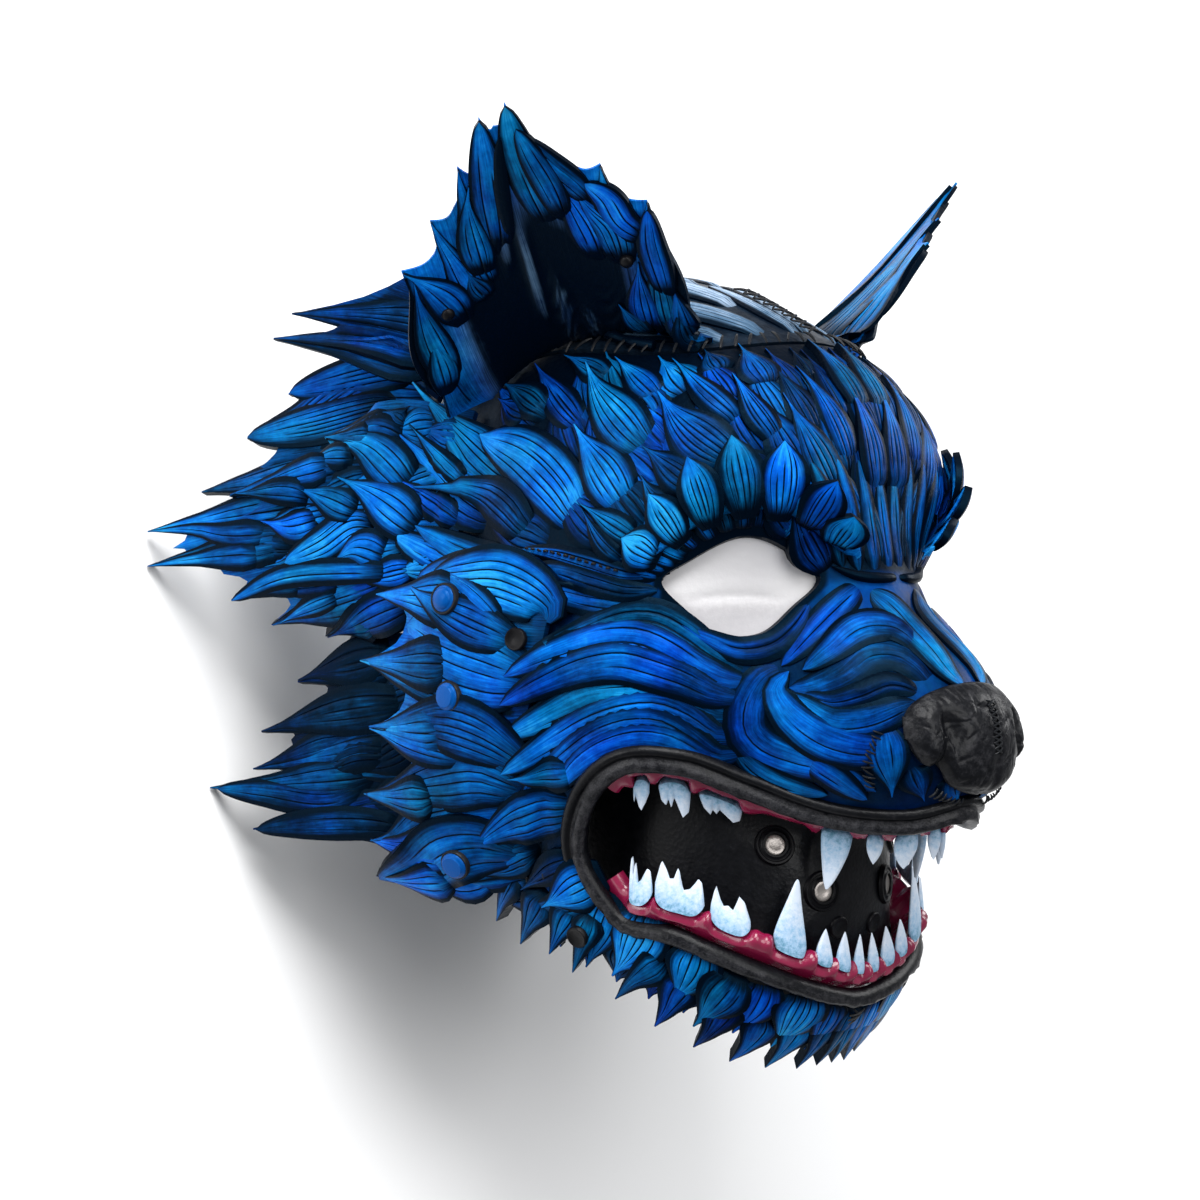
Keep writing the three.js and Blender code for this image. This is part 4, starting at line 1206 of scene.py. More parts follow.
# On the muzzle and under the eye the hide is smooth, parted into bands by thin cuts
bandLook = {"wider": 1.3, "darker": 0.13}
bandCarving = {
    "crown": 1.0, "rise": 0.4, "lift": 0.3, "rootDark": 0.45, "rootSink": 1.2,
    "sides": bandSides,
}
muzzleLeaves = tableOf("""
pleatOne band 9 1 .54 .08  1.6 9.3  1.7 18  2.6 28
pleatTwo band 9 1 .46 .08  5.2 9.4  5.9 18  8.2 29
pleatThree band 9 1 .52 .08  8.6 9.9  10.2 18  14 29
pleatFour band 9 1 .44 .12  11.8 10.8  14.6 18  20 28
eyeInner band 12 1 .5 .05  8.5 7.5  14.5 2.5  20 -2.5  25.5 -8
lidLow band 10 1 .3 .25  18 4.5  21.5 -.5  26.5 -4.5  33 -5.5  40 -3  45.5 0
ridge band 16 1 .68 0  7 6  4.5 2  4 -3  3.5 -7  2 -8.8
bridgeWave band 15 1 .5 0  5 -4.5  7 -1  12 -1  18 -5  22.5 -8.5
bridgeWaveLow band 16 1 .34 0  6.5 -8.5  9 -5  13 -5  18 -8.5  22.5 -11  25 -11.5
snoutTop band 10 1 .26 .05  9 -9.5  12.5 -9  16.5 -11  20 -12.5  23 -12
snoutMid band 13 1 .5 0  10 -11  12 -12  16.5 -14.5  20 -15.5  23 -14  25 -12.5
snoutLow band 16 1 .6 0  12 -16  15.5 -18  19.5 -18.5  23 -17.5  26 -15  27 -12  24.5 -9
curl band 16 1 .5 0  24 -7.5  29 -10.5  32 -15.5  32 -20  29 -22.5  24 -23  19.5 -22.5  14 -24
curlFoot band 11 1 .55 0  34 -24  29.5 -27  24.5 -28  19 -27
snoutFoot band 11 1 .6 0  23 -22.5  19.5 -23.5  14.5 -25.5
patch petal 17 2 .66 0  14.5 -15  14 -18.5  12 -24
underNoseSide petal 12 1 .5 0  11 -19.5  9.5 -21.5  7.5 -24
underNose petal 12 1 .55 0  5 -20  4 -22  2 -23.6
cornerTop band 8 2 .46 .15  50.5 10  57 10.5  65 13  74 15.5  84 17
cornerLine band 9 2 .42 .18  50 7  56.5 6.8  64 8.8  73 11.5  83 12.5
cornerLow band 10 2 .54 .1  49 3.8  57 3.6  65 4.6  73 6.4  80 7
cheekLid band 13 2 .42 .15  31.5 -9.5  38.5 -6  44 -2  49.5 1  55.5 1.5  62.5 -.5  69.5 -3.5  77 -6
cheekOne band 15 2 .62 .05  31 -11.5  36.5 -11  42.5 -8.5  47.5 -5.5  53.5 -3  60.5 -3  68 -5  75 -7.5  82 -10.5
cheekTwo band 16 2 .58 0  33 -14.5  39 -13.5  44.5 -11  50.5 -9  57 -7.5  64.5 -8.5  74 -12  83 -16
cheekThree band 16 2 .66 0  33.5 -17.5  37.5 -17.5  43 -15.5  49 -13.5  56 -13.5  63.5 -14.5  72 -18  84 -22.5
cheekFour band 16 2 .62 0  33.5 -21.5  38.5 -21.5  44 -18.5  50 -16.5  56.5 -17  64 -19.5  73 -24  85 -29
cheekFive band 15 2 .5 0  32.5 -24.5  37.5 -25.5  43.5 -22.5  49.5 -19.5  56 -19.5  63 -22  71 -27  81 -33
cheekSix band 14 2 .6 0  35.5 -27.5  42 -25  48 -22.5  54 -22  61 -24  67 -27.5  73 -33
""")
muzzleLeaves = {
    name: (kind, wide * bandLook["wider"], lines, light - bandLook["darker"], shade, marks)
    for name, (kind, wide, lines, light, shade, marks) in muzzleLeaves.items()
}


# Small dark leaves stand all along the upper rim of the eye
lashes = {"from": 2, "to": 29, "step": 2, "foot": 0.4, "long": 9.0, "lean": 2.0, "wide": 9.0}


def eyeLashes():
    middle = eyeOutline.mean(0)
    leaves = {}
    for k in range(lashes["from"], lashes["to"], lashes["step"]):
        way = unit(eyeOutline[k] - middle)
        marks = [eyeOutline[k] + way * (lashes["foot"] + far) + np.array([lean, 0.0]) for far, lean in
                 ((0.0, 0.0), (lashes["long"] / 2.0, lashes["lean"] / 4.0), (lashes["long"], lashes["lean"]))]
        leaves[k] = ("petal", lashes["wide"], 2, 0.46, 0.08, marks)
    return leaves


def allowedOnFace(az, el, edge=0.0):
    ok = (el > jawSeam(az) + 0.5) & (el < hairline(az) - 0.6) & (az > edge)
    ok &= (el > 8.0) | (az > faceFur["muzzle"])
    ok &= az < plateEdge(el) + faceFur["overlap"]
    ok &= ~insideOutline(eyeOutline, az, el) & (gapTo(eyeOutline, az, el) > faceFur["eyeGap"])
    ok &= ~insideOutline(mouthOutline, az, el) & (gapTo(mouthOutline, az, el) > faceFur["mouthGap"])
    return ok


def carveFace():
    rng = np.random.default_rng(faceFur["seed"])
    az = rng.uniform(0.5, 112.0, faceFur["tries"])
    el = rng.uniform(-45.0, 58.0, faceFur["tries"])
    ok = allowedOnFace(az, el)
    flow = flowOf(furRuns)
    places = onHead(az[ok], el[ok])
    places = places[nearLaid({**faceLeaves, **muzzleLeaves}, places) > faceFur["clear"]]
    roots, size = spreadRoots(flow, places)
    long = size[:, 0] * rng.uniform(0.8, 1.15, len(roots))
    rows = leafLook["rows"]
    path = traceLocks(flow, roots, long, rows)
    # A lock stops where its middle line would leave the hide
    pathAz, pathEl, _ = anglesOf(path)
    fine = allowedOnFace(pathAz, pathEl, edge=-3.0)
    reach = np.where(fine.all(1), rows - 1, np.argmin(fine, 1) - 1) / (rows - 1)
    keep = reach > 0.35
    roots, size, long, reach = roots[keep], size[keep], long[keep] * reach[keep], reach[keep]
    path = traceLocks(flow, roots, long, rows)
    normals = headNormal(path)
    wide = size[:, 1] * rng.uniform(1.15, 1.4, len(roots)) * np.minimum(0.6 + 0.4 * reach, 1.0)
    az, el, _ = anglesOf(path[:, rows // 2])
    light = size[:, 3]
    # Painted shade: locks near the eye are darker
    shade = size[:, 4] + 0.25 * (1 - ramp(gapTo(eyeOutline, az, el), 2, 10))
    band = size[:, 2] < 2.0
    # Fill locks beside the laid leaves sit lower and are darkened with painted shade
    beside = nearLaid({**faceLeaves, **muzzleLeaves}, path[:, rows // 2]) < 1.5
    lift = np.where(beside, -0.6, leafLook["lift"])
    shade = shade + np.where(beside, 0.15, 0.0)
    forms = [
        laidLeaves(faceLeaves, onHide, rng, seat=overPlates, crown=1.2, rise=1.3, rootDark=0.5),
        laidLeaves(muzzleLeaves, onHide, rng, seat=overPlates, **bandCarving),
        laidLeaves(eyeLashes(), onHide, rng, crown=0.9, rise=1.6, lift=0.0),
    ]
    for shape, chosen, cuts in (("lens", ~band, 4), ("band", band & ~beside, 2)):
        changes = {"crown": 1.5, "rise": 1.3, "rootDark": 0.3} if shape == "band" else {}
        forms.append(carveLeaves(
            path[chosen], normals[chosen], wide[chosen], cuts, rng, seat=overPlates,
            light=light[chosen], shade=shade[chosen], lift=lift[chosen], shape=shape, **changes,
        ))
    print(f"face locks on each side: {len(roots)}")
    return together(*forms)


def headShell(azimuths, low, high, rows, lift=0.0, thick=hideThick, relief=0.0, loop=False, dyeAndShading=None):
    part = np.linspace(0.0, 1.0, rows + 1)
    az = np.repeat(azimuths[:, None], rows + 1, 1)
    el = low(az) + (high(az) - low(az)) * part
    raised = relief(az, el) if callable(relief) else relief
    outer, inner = onHead(az, el, lift + raised), onHead(az, el, lift - thick)
    count = 2 * az.size
    return slabFrom(outer, inner, plainDye(count) if dyeAndShading is None else dyeAndShading, loop)


# The hide under the locks, as (how black, how light): nearly black, which is the black of the cuts together with
# painted shade in the gaps, bluer under the smooth bands, and bluest on the bridge. Limits are azimuths, then
# elevations.
underDyeAndShade = {
    "plain": (0.78, 0.3), "bands": (0.42, 0.26), "bandsTo": (80.0, 45.0, 10.5, 14.0),
    "bridge": (0.3, 0.36), "bridgeTo": (15.0, -12.0, 8.0), "rim": 0.9, "rimWide": 1.2,
}


def hideBetweenLocks(points):
    az, el, _ = anglesOf(points)
    side = np.abs(az)
    dyeAndShading = plainDye(len(points), *underDyeAndShade["plain"])
    to, middle, low, high = underDyeAndShade["bandsTo"]
    dyeAndShading[(side < to) & (el < np.where(side < middle, low, high)), :2] = underDyeAndShade["bands"]
    to, low, high = underDyeAndShade["bridgeTo"]
    dyeAndShading[(side < to) & (el < high) & (el > low), :2] = underDyeAndShade["bridge"]
    dyeAndShading[gapTo(eyeOutline, side, el) < underDyeAndShade["rimWide"], 0] = underDyeAndShade["rim"]
    return dyeAndShading


def makeFace():
    azimuths = np.linspace(-faceBack, faceBack, 141)
    shell = headShell(azimuths, lambda az: jawSeam(az) + seamGap, lambda az: hairline(az) - seamGap, 62)
    eyes = [radialPlug(eyeOutline * np.array([side, 1.0])) for side in (1.0, -1.0)]
    base = cutOut(shell, [radialPlug(mouthOutline), *eyes], hideBetweenLocks)
    finishForm("face_hide", together(base, bothSides(carveFace())), blueHide, "blue_leather", "face")


makeFace()

# The jaw: two rows of broad leaves under the lip, and a fringe of points that stands off the head.
# Marks are (azimuth, elevation, lift).
jawFur = {"seed": 11, "notch": 6.0, "fill": 9.0}
jawLeaves = tableOf("""
cornerDark petal 16 2 .25 .3  69.2 -44.4 2  77 -46.4 3  83.5 -48.8 4  88.1 -50.2 6
cornerOne petal 25 4 .66 0  63.6 -46.5 2  69.3 -48 3.5  74.5 -49.6 5  80.5 -51.4 6.5
cornerBack petal 17 2 .28 .25  65.5 -49.5 2  71.2 -50.7 3.5  79.1 -51.6 5  87.2 -51.9 6.5
rearOne petal 22 3 .42 .15  84 -50 2  90 -51.5 4  97 -53 8
rearTwo petal 20 3 .36 .2  92 -49.5 2  98 -50.5 4  104 -52 8
holedBack flame 18 2 .32 .2  71.5 -51 4  74.9 -53.1 8  79.2 -56.3 13
rearPoint flame 20 2 .36 .2  80 -50 4  84.5 -53 8  90 -56.5 13
rearPointTwo flame 18 2 .34 .2  89 -48 4  94 -51 8  100 -55 13
firstBack flame 17 2 .38 .15  47 -53.2 4  51.2 -54.9 7  55.7 -56.8 10  61 -60 13
secondBack flame 20 2 .36 .2  42.8 -54.5 4  45.6 -57 7  47.6 -59 10  50.4 -61.5 13
thirdBack flame 20 2 .36 .2  33 -55.5 4  34.8 -57.8 7  37 -60 10  40.3 -62.8 13
fourthBack flame 20 1 .44 .1  24 -57.5 4  25.4 -59.7 7  27.3 -61.6 10  30.3 -64 13
fifthBack flame 22 1 .46 .1  14.5 -57.8 4  15.2 -60 7  16.8 -62 10  19.8 -64.6 14
sixthBack flame 18 1 .44 .1  6.5 -57.8 4  7.2 -60 7  8.2 -62 10  10.2 -64.4 14
chinBack flame 14 1 .46 .1  1 -57.8 4  1.4 -60 7  2.2 -62 10  3.2 -64.2 13
cornerPoint flame 16 2 .38 .15  66 -51 4  68.5 -54 8  72.5 -58 13
holed petal 22 3 .52 .08  61 -49 2  63.5 -52.4 4  66.2 -55.4 6  69.5 -58.2 9
first petal 30 5 .68 0  52 -49.3 2  54 -52.1 3.5  57.1 -54.9 5.5  61.5 -58 8
second petal 26 4 .62 .03  40.3 -50.8 2  41.6 -53.2 3.5  43.4 -55.4 5  46.2 -58 7
secondLow petal 25 3 .54 .06  32.2 -52.6 3  34.8 -54.8 5  37.5 -57.2 7  40.8 -60 9
third petal 25 3 .6 .03  26.2 -53 2  27.4 -55.4 4  28.9 -57.6 6  31.4 -60.2 8
fourth petal 30 5 .68 0  16 -54 2  16.7 -56.5 4  18.1 -58.8 6  20.6 -61.6 8.5
fifth petal 22 3 .6 0  7.4 -55.4 2  7.8 -57.6 4  8.6 -59.6 6  10.4 -62 8
chin petal 15 1 .56 0  1.6 -56.2 2  1.8 -58 4  2.2 -60 6  3.2 -62 8
""", 3)


def lowerLip(az):
    run = lipAngles(np.linspace(0.26, 0.5, 60))
    return np.where(az < run[0, 0], np.interp(az, run[::-1, 0], run[::-1, 1]), -43.0)


def makeJaw():
    rng = np.random.default_rng(jawFur["seed"])
    azimuths = np.linspace(-jawBack, jawBack, 131)
    hang = lambda az, el: jawFur["notch"] * ramp(el, jawEdge(az) + 12.0, jawEdge(az))
    shell = headShell(azimuths, jawEdge, lambda az: jawSeam(az) - seamGap, 18, relief=hang)
    # Fault, not mended: this cut comes out empty, so base has no points and the leaves alone make the jaw
    base = cutOut(shell, [radialPlug(mouthOutline)], lambda points: plainDye(len(points), 0.7, 0.3))
    # Plain dark leaves under the laid ones close the gaps between them; their darkness is painted shade
    az = np.arange(4.0, 100.0, jawFur["fill"])
    top = np.where(az < 70, lowerLip(az) - 2.8, jawSeam(az) - 1.5)
    fill = {}
    for a, high in zip(az, top):
        low = jawEdge(a)
        marks = [(a, high, 0.5), (a + 1.5, (high + low) / 2.0, 2.5), (a + 3.5, low - 0.5, 5.5)]
        fill[a] = ("petal", 24, 3, 0.32, 0.2, marks)
    leaves = together(
        laidLeaves(fill, onHide, rng, lift=-0.4, rise=1.0), laidLeaves(jawLeaves, onHide, rng, rise=1.0),
    )
    finishForm("jaw_hide", together(base, bothSides(leaves)), blueHide, "blue_leather", "jaw")


makeJaw()

# The crown: long soft locks that run back from the hairline
crownFur = {"seed": 5, "along": 6.5, "tries": 9000, "long": 62.0, "wide": 13.0, "nape": -8.0}


def crownFlow(points):
    way = np.stack([0.35 * points[:, 0] / 99.0, np.full(len(points), -1.0), np.full(len(points), -0.25)], -1)
    return alongHide(points, way), np.tile([crownFur["long"], crownFur["wide"], 1.0], (len(points), 1))


def crownEdge(az):
    side = np.abs(az)
    front = hairline(np.minimum(side, faceBack)) + seamGap
    behind = front + (crownFur["nape"] - front) * np.minimum((side - faceBack) / 8.0, 1.0)
    return np.where(side <= faceBack, front, behind)


def makeCrown():
    rng = np.random.default_rng(crownFur["seed"])
    azimuths = np.linspace(-180.0, 180.0, 121)[:-1]
    shell = headShell(azimuths, crownEdge, lambda az: np.full(az.shape, 89.6), 44, loop=True)
    count = len(azimuths)
    # The two openings at the very top are closed by one face each
    rings = np.arange(len(shell[0])).reshape(2, count, -1)
    walls = shell[1][0]
    top = set(rings[:, :, -1].ravel().tolist())
    keep = np.array([not set(face) <= top for face in walls.tolist()])
    caps = np.stack([rings[0, :, -1], rings[1, ::-1, -1]])
    base = closedForm(shell[0], [walls[keep], caps], plainDye(len(shell[0]), 0.6, 0.35, 1.0))
    way = unit(rng.normal(size=(crownFur["tries"], 3)))
    places = ontoHead(headCentre + way * 100.0)
    az, el, _ = anglesOf(places)
    places = places[(az > 0.5) & (el > crownEdge(az) + 1.0)]
    # One row of locks begins right at the seam
    az = np.arange(2.5, faceBack, crownFur["along"])
    places = np.concatenate([onHead(az, crownEdge(az) + 1.3), places])
    roots, size = spreadRoots(crownFlow, places, 0.40, 0.66)
    rows = leafLook["rows"]
    path = traceLocks(crownFlow, roots, size[:, 0] * rng.uniform(0.8, 1.1, len(roots)), rows)
    az, el, _ = anglesOf(path)
    fine = (el > crownEdge(az) + 0.3).all(1)
    path = path[fine]
    az, el, _ = anglesOf(path[:, rows // 2])
    light = 0.30 + 0.40 * ramp(el, 45, 80)
    wide = rng.uniform(14.0, 19.0, len(path))
    locks = carveLeaves(
        path, headNormal(path), wide, 4, rng, seat=ontoHead, light=light, shape="band", crown=1.3, rise=0.9, depth=0.6,
        grey=1.0, rootDark=0.4, edgeDark=0.8,
    )
    print(f"crown locks on each side: {len(path)}")
    finishForm("crown_hide", together(base, bothSides(locks)), blueHide, "grey_leather", "crown")


makeCrown()

neck = {"half": 52.0, "low": -50.0, "folds": 1.2}


def makeNeckPanel():
    azimuths = np.linspace(180.0 - neck["half"], 180.0 + neck["half"], 101)

    def folds(az, el):
        broad = neck["folds"] * np.sin(np.radians(az * 17.0)) * ramp(el, -14, -40)
        return broad + 0.4 * np.sin(np.radians(az * 43.0))

    level = lambda height: lambda az: np.full(az.shape, height)
    shell = headShell(azimuths, level(neck["low"]), level(crownFur["nape"] - 1.0), 30, relief=folds)
    form = shell[0], shell[1], plainDye(len(shell[0]), 0.1, 0.35, 1.0)
    finishForm("neck_panel_hide", form, blueHide, "grey_leather", "neck_panel")


makeNeckPanel()
print("crown and neck made")

# Points at even spacing along (azimuth, elevation) marks, with the way along and the way off the hide
def rowPoints(marks, lift, spacing):
    fine = smoothRun(marks, np.linspace(0, 1, 200))
    line = onHead(fine[:, 0], fine[:, 1], lift)
    far = lengthsAlong(line)
    at = np.arange(spacing / 2.0, far[-1], spacing)
    places = np.stack([np.interp(at, far, line[:, k]) for k in range(3)], -1)
    way = unit(np.stack([np.interp(at, far, np.gradient(line[:, k])) for k in range(3)], -1))
    return places, way, headNormal(places)


# The outward normal of a surface, evened out over a step each way
def surfaceNormal(surface, step, t, s, facing=None):
    across = surface(t + 1.6 * step, s) - surface(t - 1.6 * step, s)
    outward = surface(t, np.minimum(s + 0.06, 1.0)) - surface(t, np.minimum(s + 0.06, 1.0) - 0.12)
    normal = unit(np.cross(across, outward))
    wanted = surface(t, s) - headCentre if facing is None else facing
    return np.where((dot(normal, wanted) < 0)[..., None], -normal, normal)


def sheetFrom(surface, step, thick, columnsEach, rows, dyeAt, facing=None, relief=None):
    columns = int(round(1.0 / step)) * columnsEach
    t, s = np.meshgrid(np.linspace(0, 1, columns + 1), np.linspace(0, 1, rows + 1), indexing="ij")
    middle, normal = surface(t, s), surfaceNormal(surface, step, t, s, facing)
    half = thick / 2.0 * np.where(s > 0.97, 0.5, 1.0)[..., None]
    strand = np.stack([t * 260.0, s * 80.0, 0 * t], -1)
    dyeAndShading = np.concatenate([np.concatenate([dyeAt(t, s, side), strand], -1).reshape(-1, dyeSize) for side in (1, -1)])
    raised = relief(t, s)[..., None] if relief else 0.0
    return slabFrom(middle + normal * (half + raised), middle - normal * half, dyeAndShading)


def ontoSheet(surface, step, thick, t, s, facing=None, side=1.0):
    normal = surfaceNormal(surface, step, t, np.clip(s, 0.0, 1.0), facing) * side
    return surface(t, s) + normal * (thick / 2.0 - 0.2), normal


def locksOn(surface, step, thick, tFrom, tTo, sFrom, sTo, wide, cuts, rng, **changes):
    v = np.linspace(0.0, 1.0, leafLook["rows"])
    t = tFrom[:, None] + (tTo - tFrom)[:, None] * ramp(v, 0, 1)
    s = sFrom[:, None] + (sTo - sFrom)[:, None] * v
    return carveLeaves(*ontoSheet(surface, step, thick, t, s), wide, cuts, rng, **changes)


# The lying mask rests on its mane, so nothing of it goes under the floor
def aboveFloor(form):
    up = turned(np.eye(3))[:, 2]
    under = np.maximum(0.3 - laidDown(form[0])[:, 2] * 1000.0, 0.0)
    return form[0] + up * under[:, None], form[1], form[2]


def makeFan(name, fan, seed):
    rng = np.random.default_rng(seed)
    surface, step = fanSurface(fan)

    def dyeAt(t, s, side):
        line = np.mod(np.arange(t.shape[0]), 4)[:, None] == 2
        # Hair lines are black in every fourth column; near the root line the sheet is darker with painted shade, and it
        # grows lighter towards its ends
        cut = np.where(line & (s > 0.1) & (s < 0.92), 0.75, 0.2) + 0.3 * (1 - ramp(s, 0.0, 0.3))
        return np.stack([cut, fan["light"] - 0.15 + 0.25 * s, np.zeros(s.shape)], -1)

    def onSheet(marks):
        return ontoSheet(surface, step, fan["thick"], marks[:, 0], marks[:, 1])

    forms = [sheetFrom(surface, step, fan["thick"], 4, 14, dyeAt)]
    for from_, to, count, wide in fan["rows"]:
        t = (np.arange(count) + rng.uniform(0.3, 0.7, count)) / count
        drift = rng.uniform(-0.4, 0.4, count) / count
        forms.append(locksOn(
            surface, step, fan["thick"], t, np.clip(t + drift, 0.03, 0.97), np.full(count, from_),
            to + rng.uniform(-0.05, 0.05, count), wide * rng.uniform(0.85, 1.15, count), 4, rng,
            rise=0.8, lift=fan.get("under", -0.4), crown=1.2, shade=0.12,
        ))
    tips = np.minimum(np.arange(1, len(fan["ends"]), 2) * step, 1.0)
    start = fan["tips"] + rng.uniform(-0.06, 0.06, len(tips))
    forms.append(locksOn(
        surface, step, fan["thick"], tips, tips, start, np.full(len(tips), 1.0),
        fan["tipWide"] * rng.uniform(0.9, 1.1, len(tips)), fan.get("tipCuts", 3), rng,
        shape=fan.get("tipShape", "flame"), rise=0.5, crown=1.5, sink=fan["thick"] * 0.8,
    ))
    if fanLeaves[name]:
        changes = {"rise": 0.9, "sink": fan["thick"] * 0.8, **fan.get("carving", {})}
        forms.append(laidLeaves(fanLeaves[name], onSheet, rng, **changes))
    form = aboveFloor(together(*forms))
    form[2][:, 1] += fan["light"] - 0.5
    slot = "dark_blue_leather" if name == "mane_lower" else "blue_leather"
    finishPair(name + "_{}_hide", form, blueHide, slot, name + "_{}")


for seed, (name, fan) in enumerate(fans.items()):
    makeFan(name, fan, 20 + seed)
print("manes, cheeks and tufts made")

# The ear, in its own flat frame from the outer base corner to the inner one and up to the tip
ear = {
    "outer": (118, -26, 92), "inner": (54, 69, 107), "tip": (156, 51, 203), "cup": 22.0, "half": 60.0, "height": 129.0,
    "edge": [
        (-58, 0), (-57, 30), (-61, 60), (-46, 64), (-44, 80), (-33, 84), (-27, 103), (-20, 100), (-13, 124),
        (-8, 119), (-1, 129), (6, 112), (20, 96), (32, 94), (34, 82), (48, 74), (48, 52), (52, 30), (57, 0),
    ],
    "thick": 2.4, "seed": 31, "sides": ((0, 1), (0, 1), (0.7, 0.95), (1.9, 0.45), (4.4, 0.15)),
}


def earFrame():
    outer, inner, tip = (np.array(ear[key], dtype=float) for key in ("outer", "inner", "tip"))
    across = unit(inner - outer)
    front = unit(np.cross(across, tip - outer))
    return (outer + inner) / 2.0, across, np.cross(front, across), front


def earSurface(t, s):
    middle, across, up, front = earFrame()
    t, s = np.clip(t, 0.0, 1.0), np.asarray(s, dtype=float)
    end, x = betweenEnds(ear["edge"], t)
    hollow = 1 - 0.03 * np.sin(np.pi * x[..., 0])
    foot = (-ear["half"] + 2) + (2 * ear["half"] - 5) * t
    p = foot + (end[..., 0] * hollow - foot) * np.sqrt(np.clip(s, 0.0, 1.1))
    q = -16 + (end[..., 1] * hollow + 16) * s
    cup = ear["cup"] * (1 - (p / ear["half"]) ** 2) * np.maximum(1 - q / ear["height"], 0.0) ** 1.5
    point = middle + across * p[..., None] + up * q[..., None] - front * cup[..., None]
    return seated(point, fanLift)


earLeaves = tableOf("""
rearFoot petal 13 3 .25 .3  .99 .3  .975 .65  .955 .98
leftFoot petal 17 2 .5 0  .11 .2  .11 .5  .115 .75  .12 .92
leftFootLow petal 15 2 .52 0  .02 .45  .035 .7  .056 .97
leftLow petal 19 2 .5 .05  .2 .5  .16 .72  .134 .88  .113 .99
leftHookMid flame 19 2 .55 0  .27 .5  .245 .72  .229 .88  .223 .995
leftHookHigh flame 16 2 .5 0  .33 .62  .318 .84  .322 .95  .335 .995
leftTip band 17 2 .55 0  .38 .62  .407 .84  .43 .94  .446 .995
leftMid petal 16 3 .58 0  .302 .6  .305 .78  .323 .87  .35 .95
leftInner petal 13 3 .48 .15  .323 .5  .3 .67  .289 .78  .29 .89
leftInnerLow petal 13 3 .3 .3  .293 .5  .268 .61  .256 .72
rimHigh band 13 2 .5 .03  .7 .84  .667 .91  .635 .965  .6 .985
tipFrontLow band 14 2 .6 0  .635 .72  .622 .85  .6 .93  .575 .98
tipFront band 18 2 .62 0  .6 .62  .576 .76  .556 .88  .556 .99
innerHigh petal 18 3 .6 0  .69 .56  .672 .72  .65 .85  .628 .93
innerMid petal 18 4 .55 .03  .77 .6  .72 .72  .69 .82  .66 .9
rimMid band 16 2 .6 0  .83 .8  .79 .86  .73 .88  .69 .95
frontThree petal 17 3 .38 .1  .955 .45  .95 .7  .945 .88  .942 .99
frontTwo petal 16 3 .5 .05  .895 .32  .87 .46  .845 .6  .825 .74
frontOne petal 17 3 .55 0  .81 .23  .8 .38  .8 .52  .806 .66
rimLow band 14 2 .55 0  .92 .75  .885 .82  .86 .9  .835 .97
hookLow flame 14 2 .5 .03  .85 .66  .83 .78  .828 .88  .834 .995
hookHigh flame 16 2 .54 0  .8 .78  .77 .86  .745 .93  .722 .995
innerFoot petal 13 2 .5 .1  .807 .2  .752 .29  .705 .36
fold band 7 0 .1 .9  .43 .6  .453 .75  .488 .9  .515 .97
""")
earBack = tableOf("""
outerLow petal 24 3 .6 0  .08 .15  .1 .5  .115 .98
outer petal 28 4 .66 0  .22 .12  .23 .5  .225 .98
tipOuter petal 26 4 .62 0  .38 .12  .41 .5  .445 .98
tipInner petal 28 4 .68 0  .56 .12  .56 .5  .557 .98
inner petal 28 4 .6 0  .74 .12  .73 .5  .722 .98
innerLow petal 24 3 .6 0  .9 .15  .87 .5  .834 .98
""")
# The roll along the foot of the ear, on the head, and the folds of its hollow as (t, width, low, high, height)
earRoll = {
    "path": marksOf("141 47  124 55  107.5 61  92 63.6  76 62.4  62 58.6  51 55.5"), "lift": 2.6, "thick": 5.0,
}
earFolds = marksOf(".4 .018 .5 .8 1.6  .475 .022 .2 .74 2.2  .56 .03 .1 .45 1.4  .64 .02 .1 .4 1.2", 5)


def earHollow(t, s):
    return ramp(s, 0.86, 0.5) * ramp(t, 0.12, 0.30) * (1 - ramp(t, 0.66, 0.84))


def earRelief(t, s):
    high = 0.0
    for at, wide, low, top, height in earFolds:
        fold = height * np.exp(-((t - at - 0.05 * (s - 0.5)) / wide) ** 2)
        high = high + fold * ramp(s, low, low + 0.15) * (1 - ramp(s, top - 0.15, top))
    crease = 0.35 * np.sin(s * 90.0 + 6.0 * np.sin(t * 40.0)) * ramp(t, 0.44, 0.55) * (1 - ramp(s, 0.3, 0.5))
    return (high + crease) * earHollow(t, s)


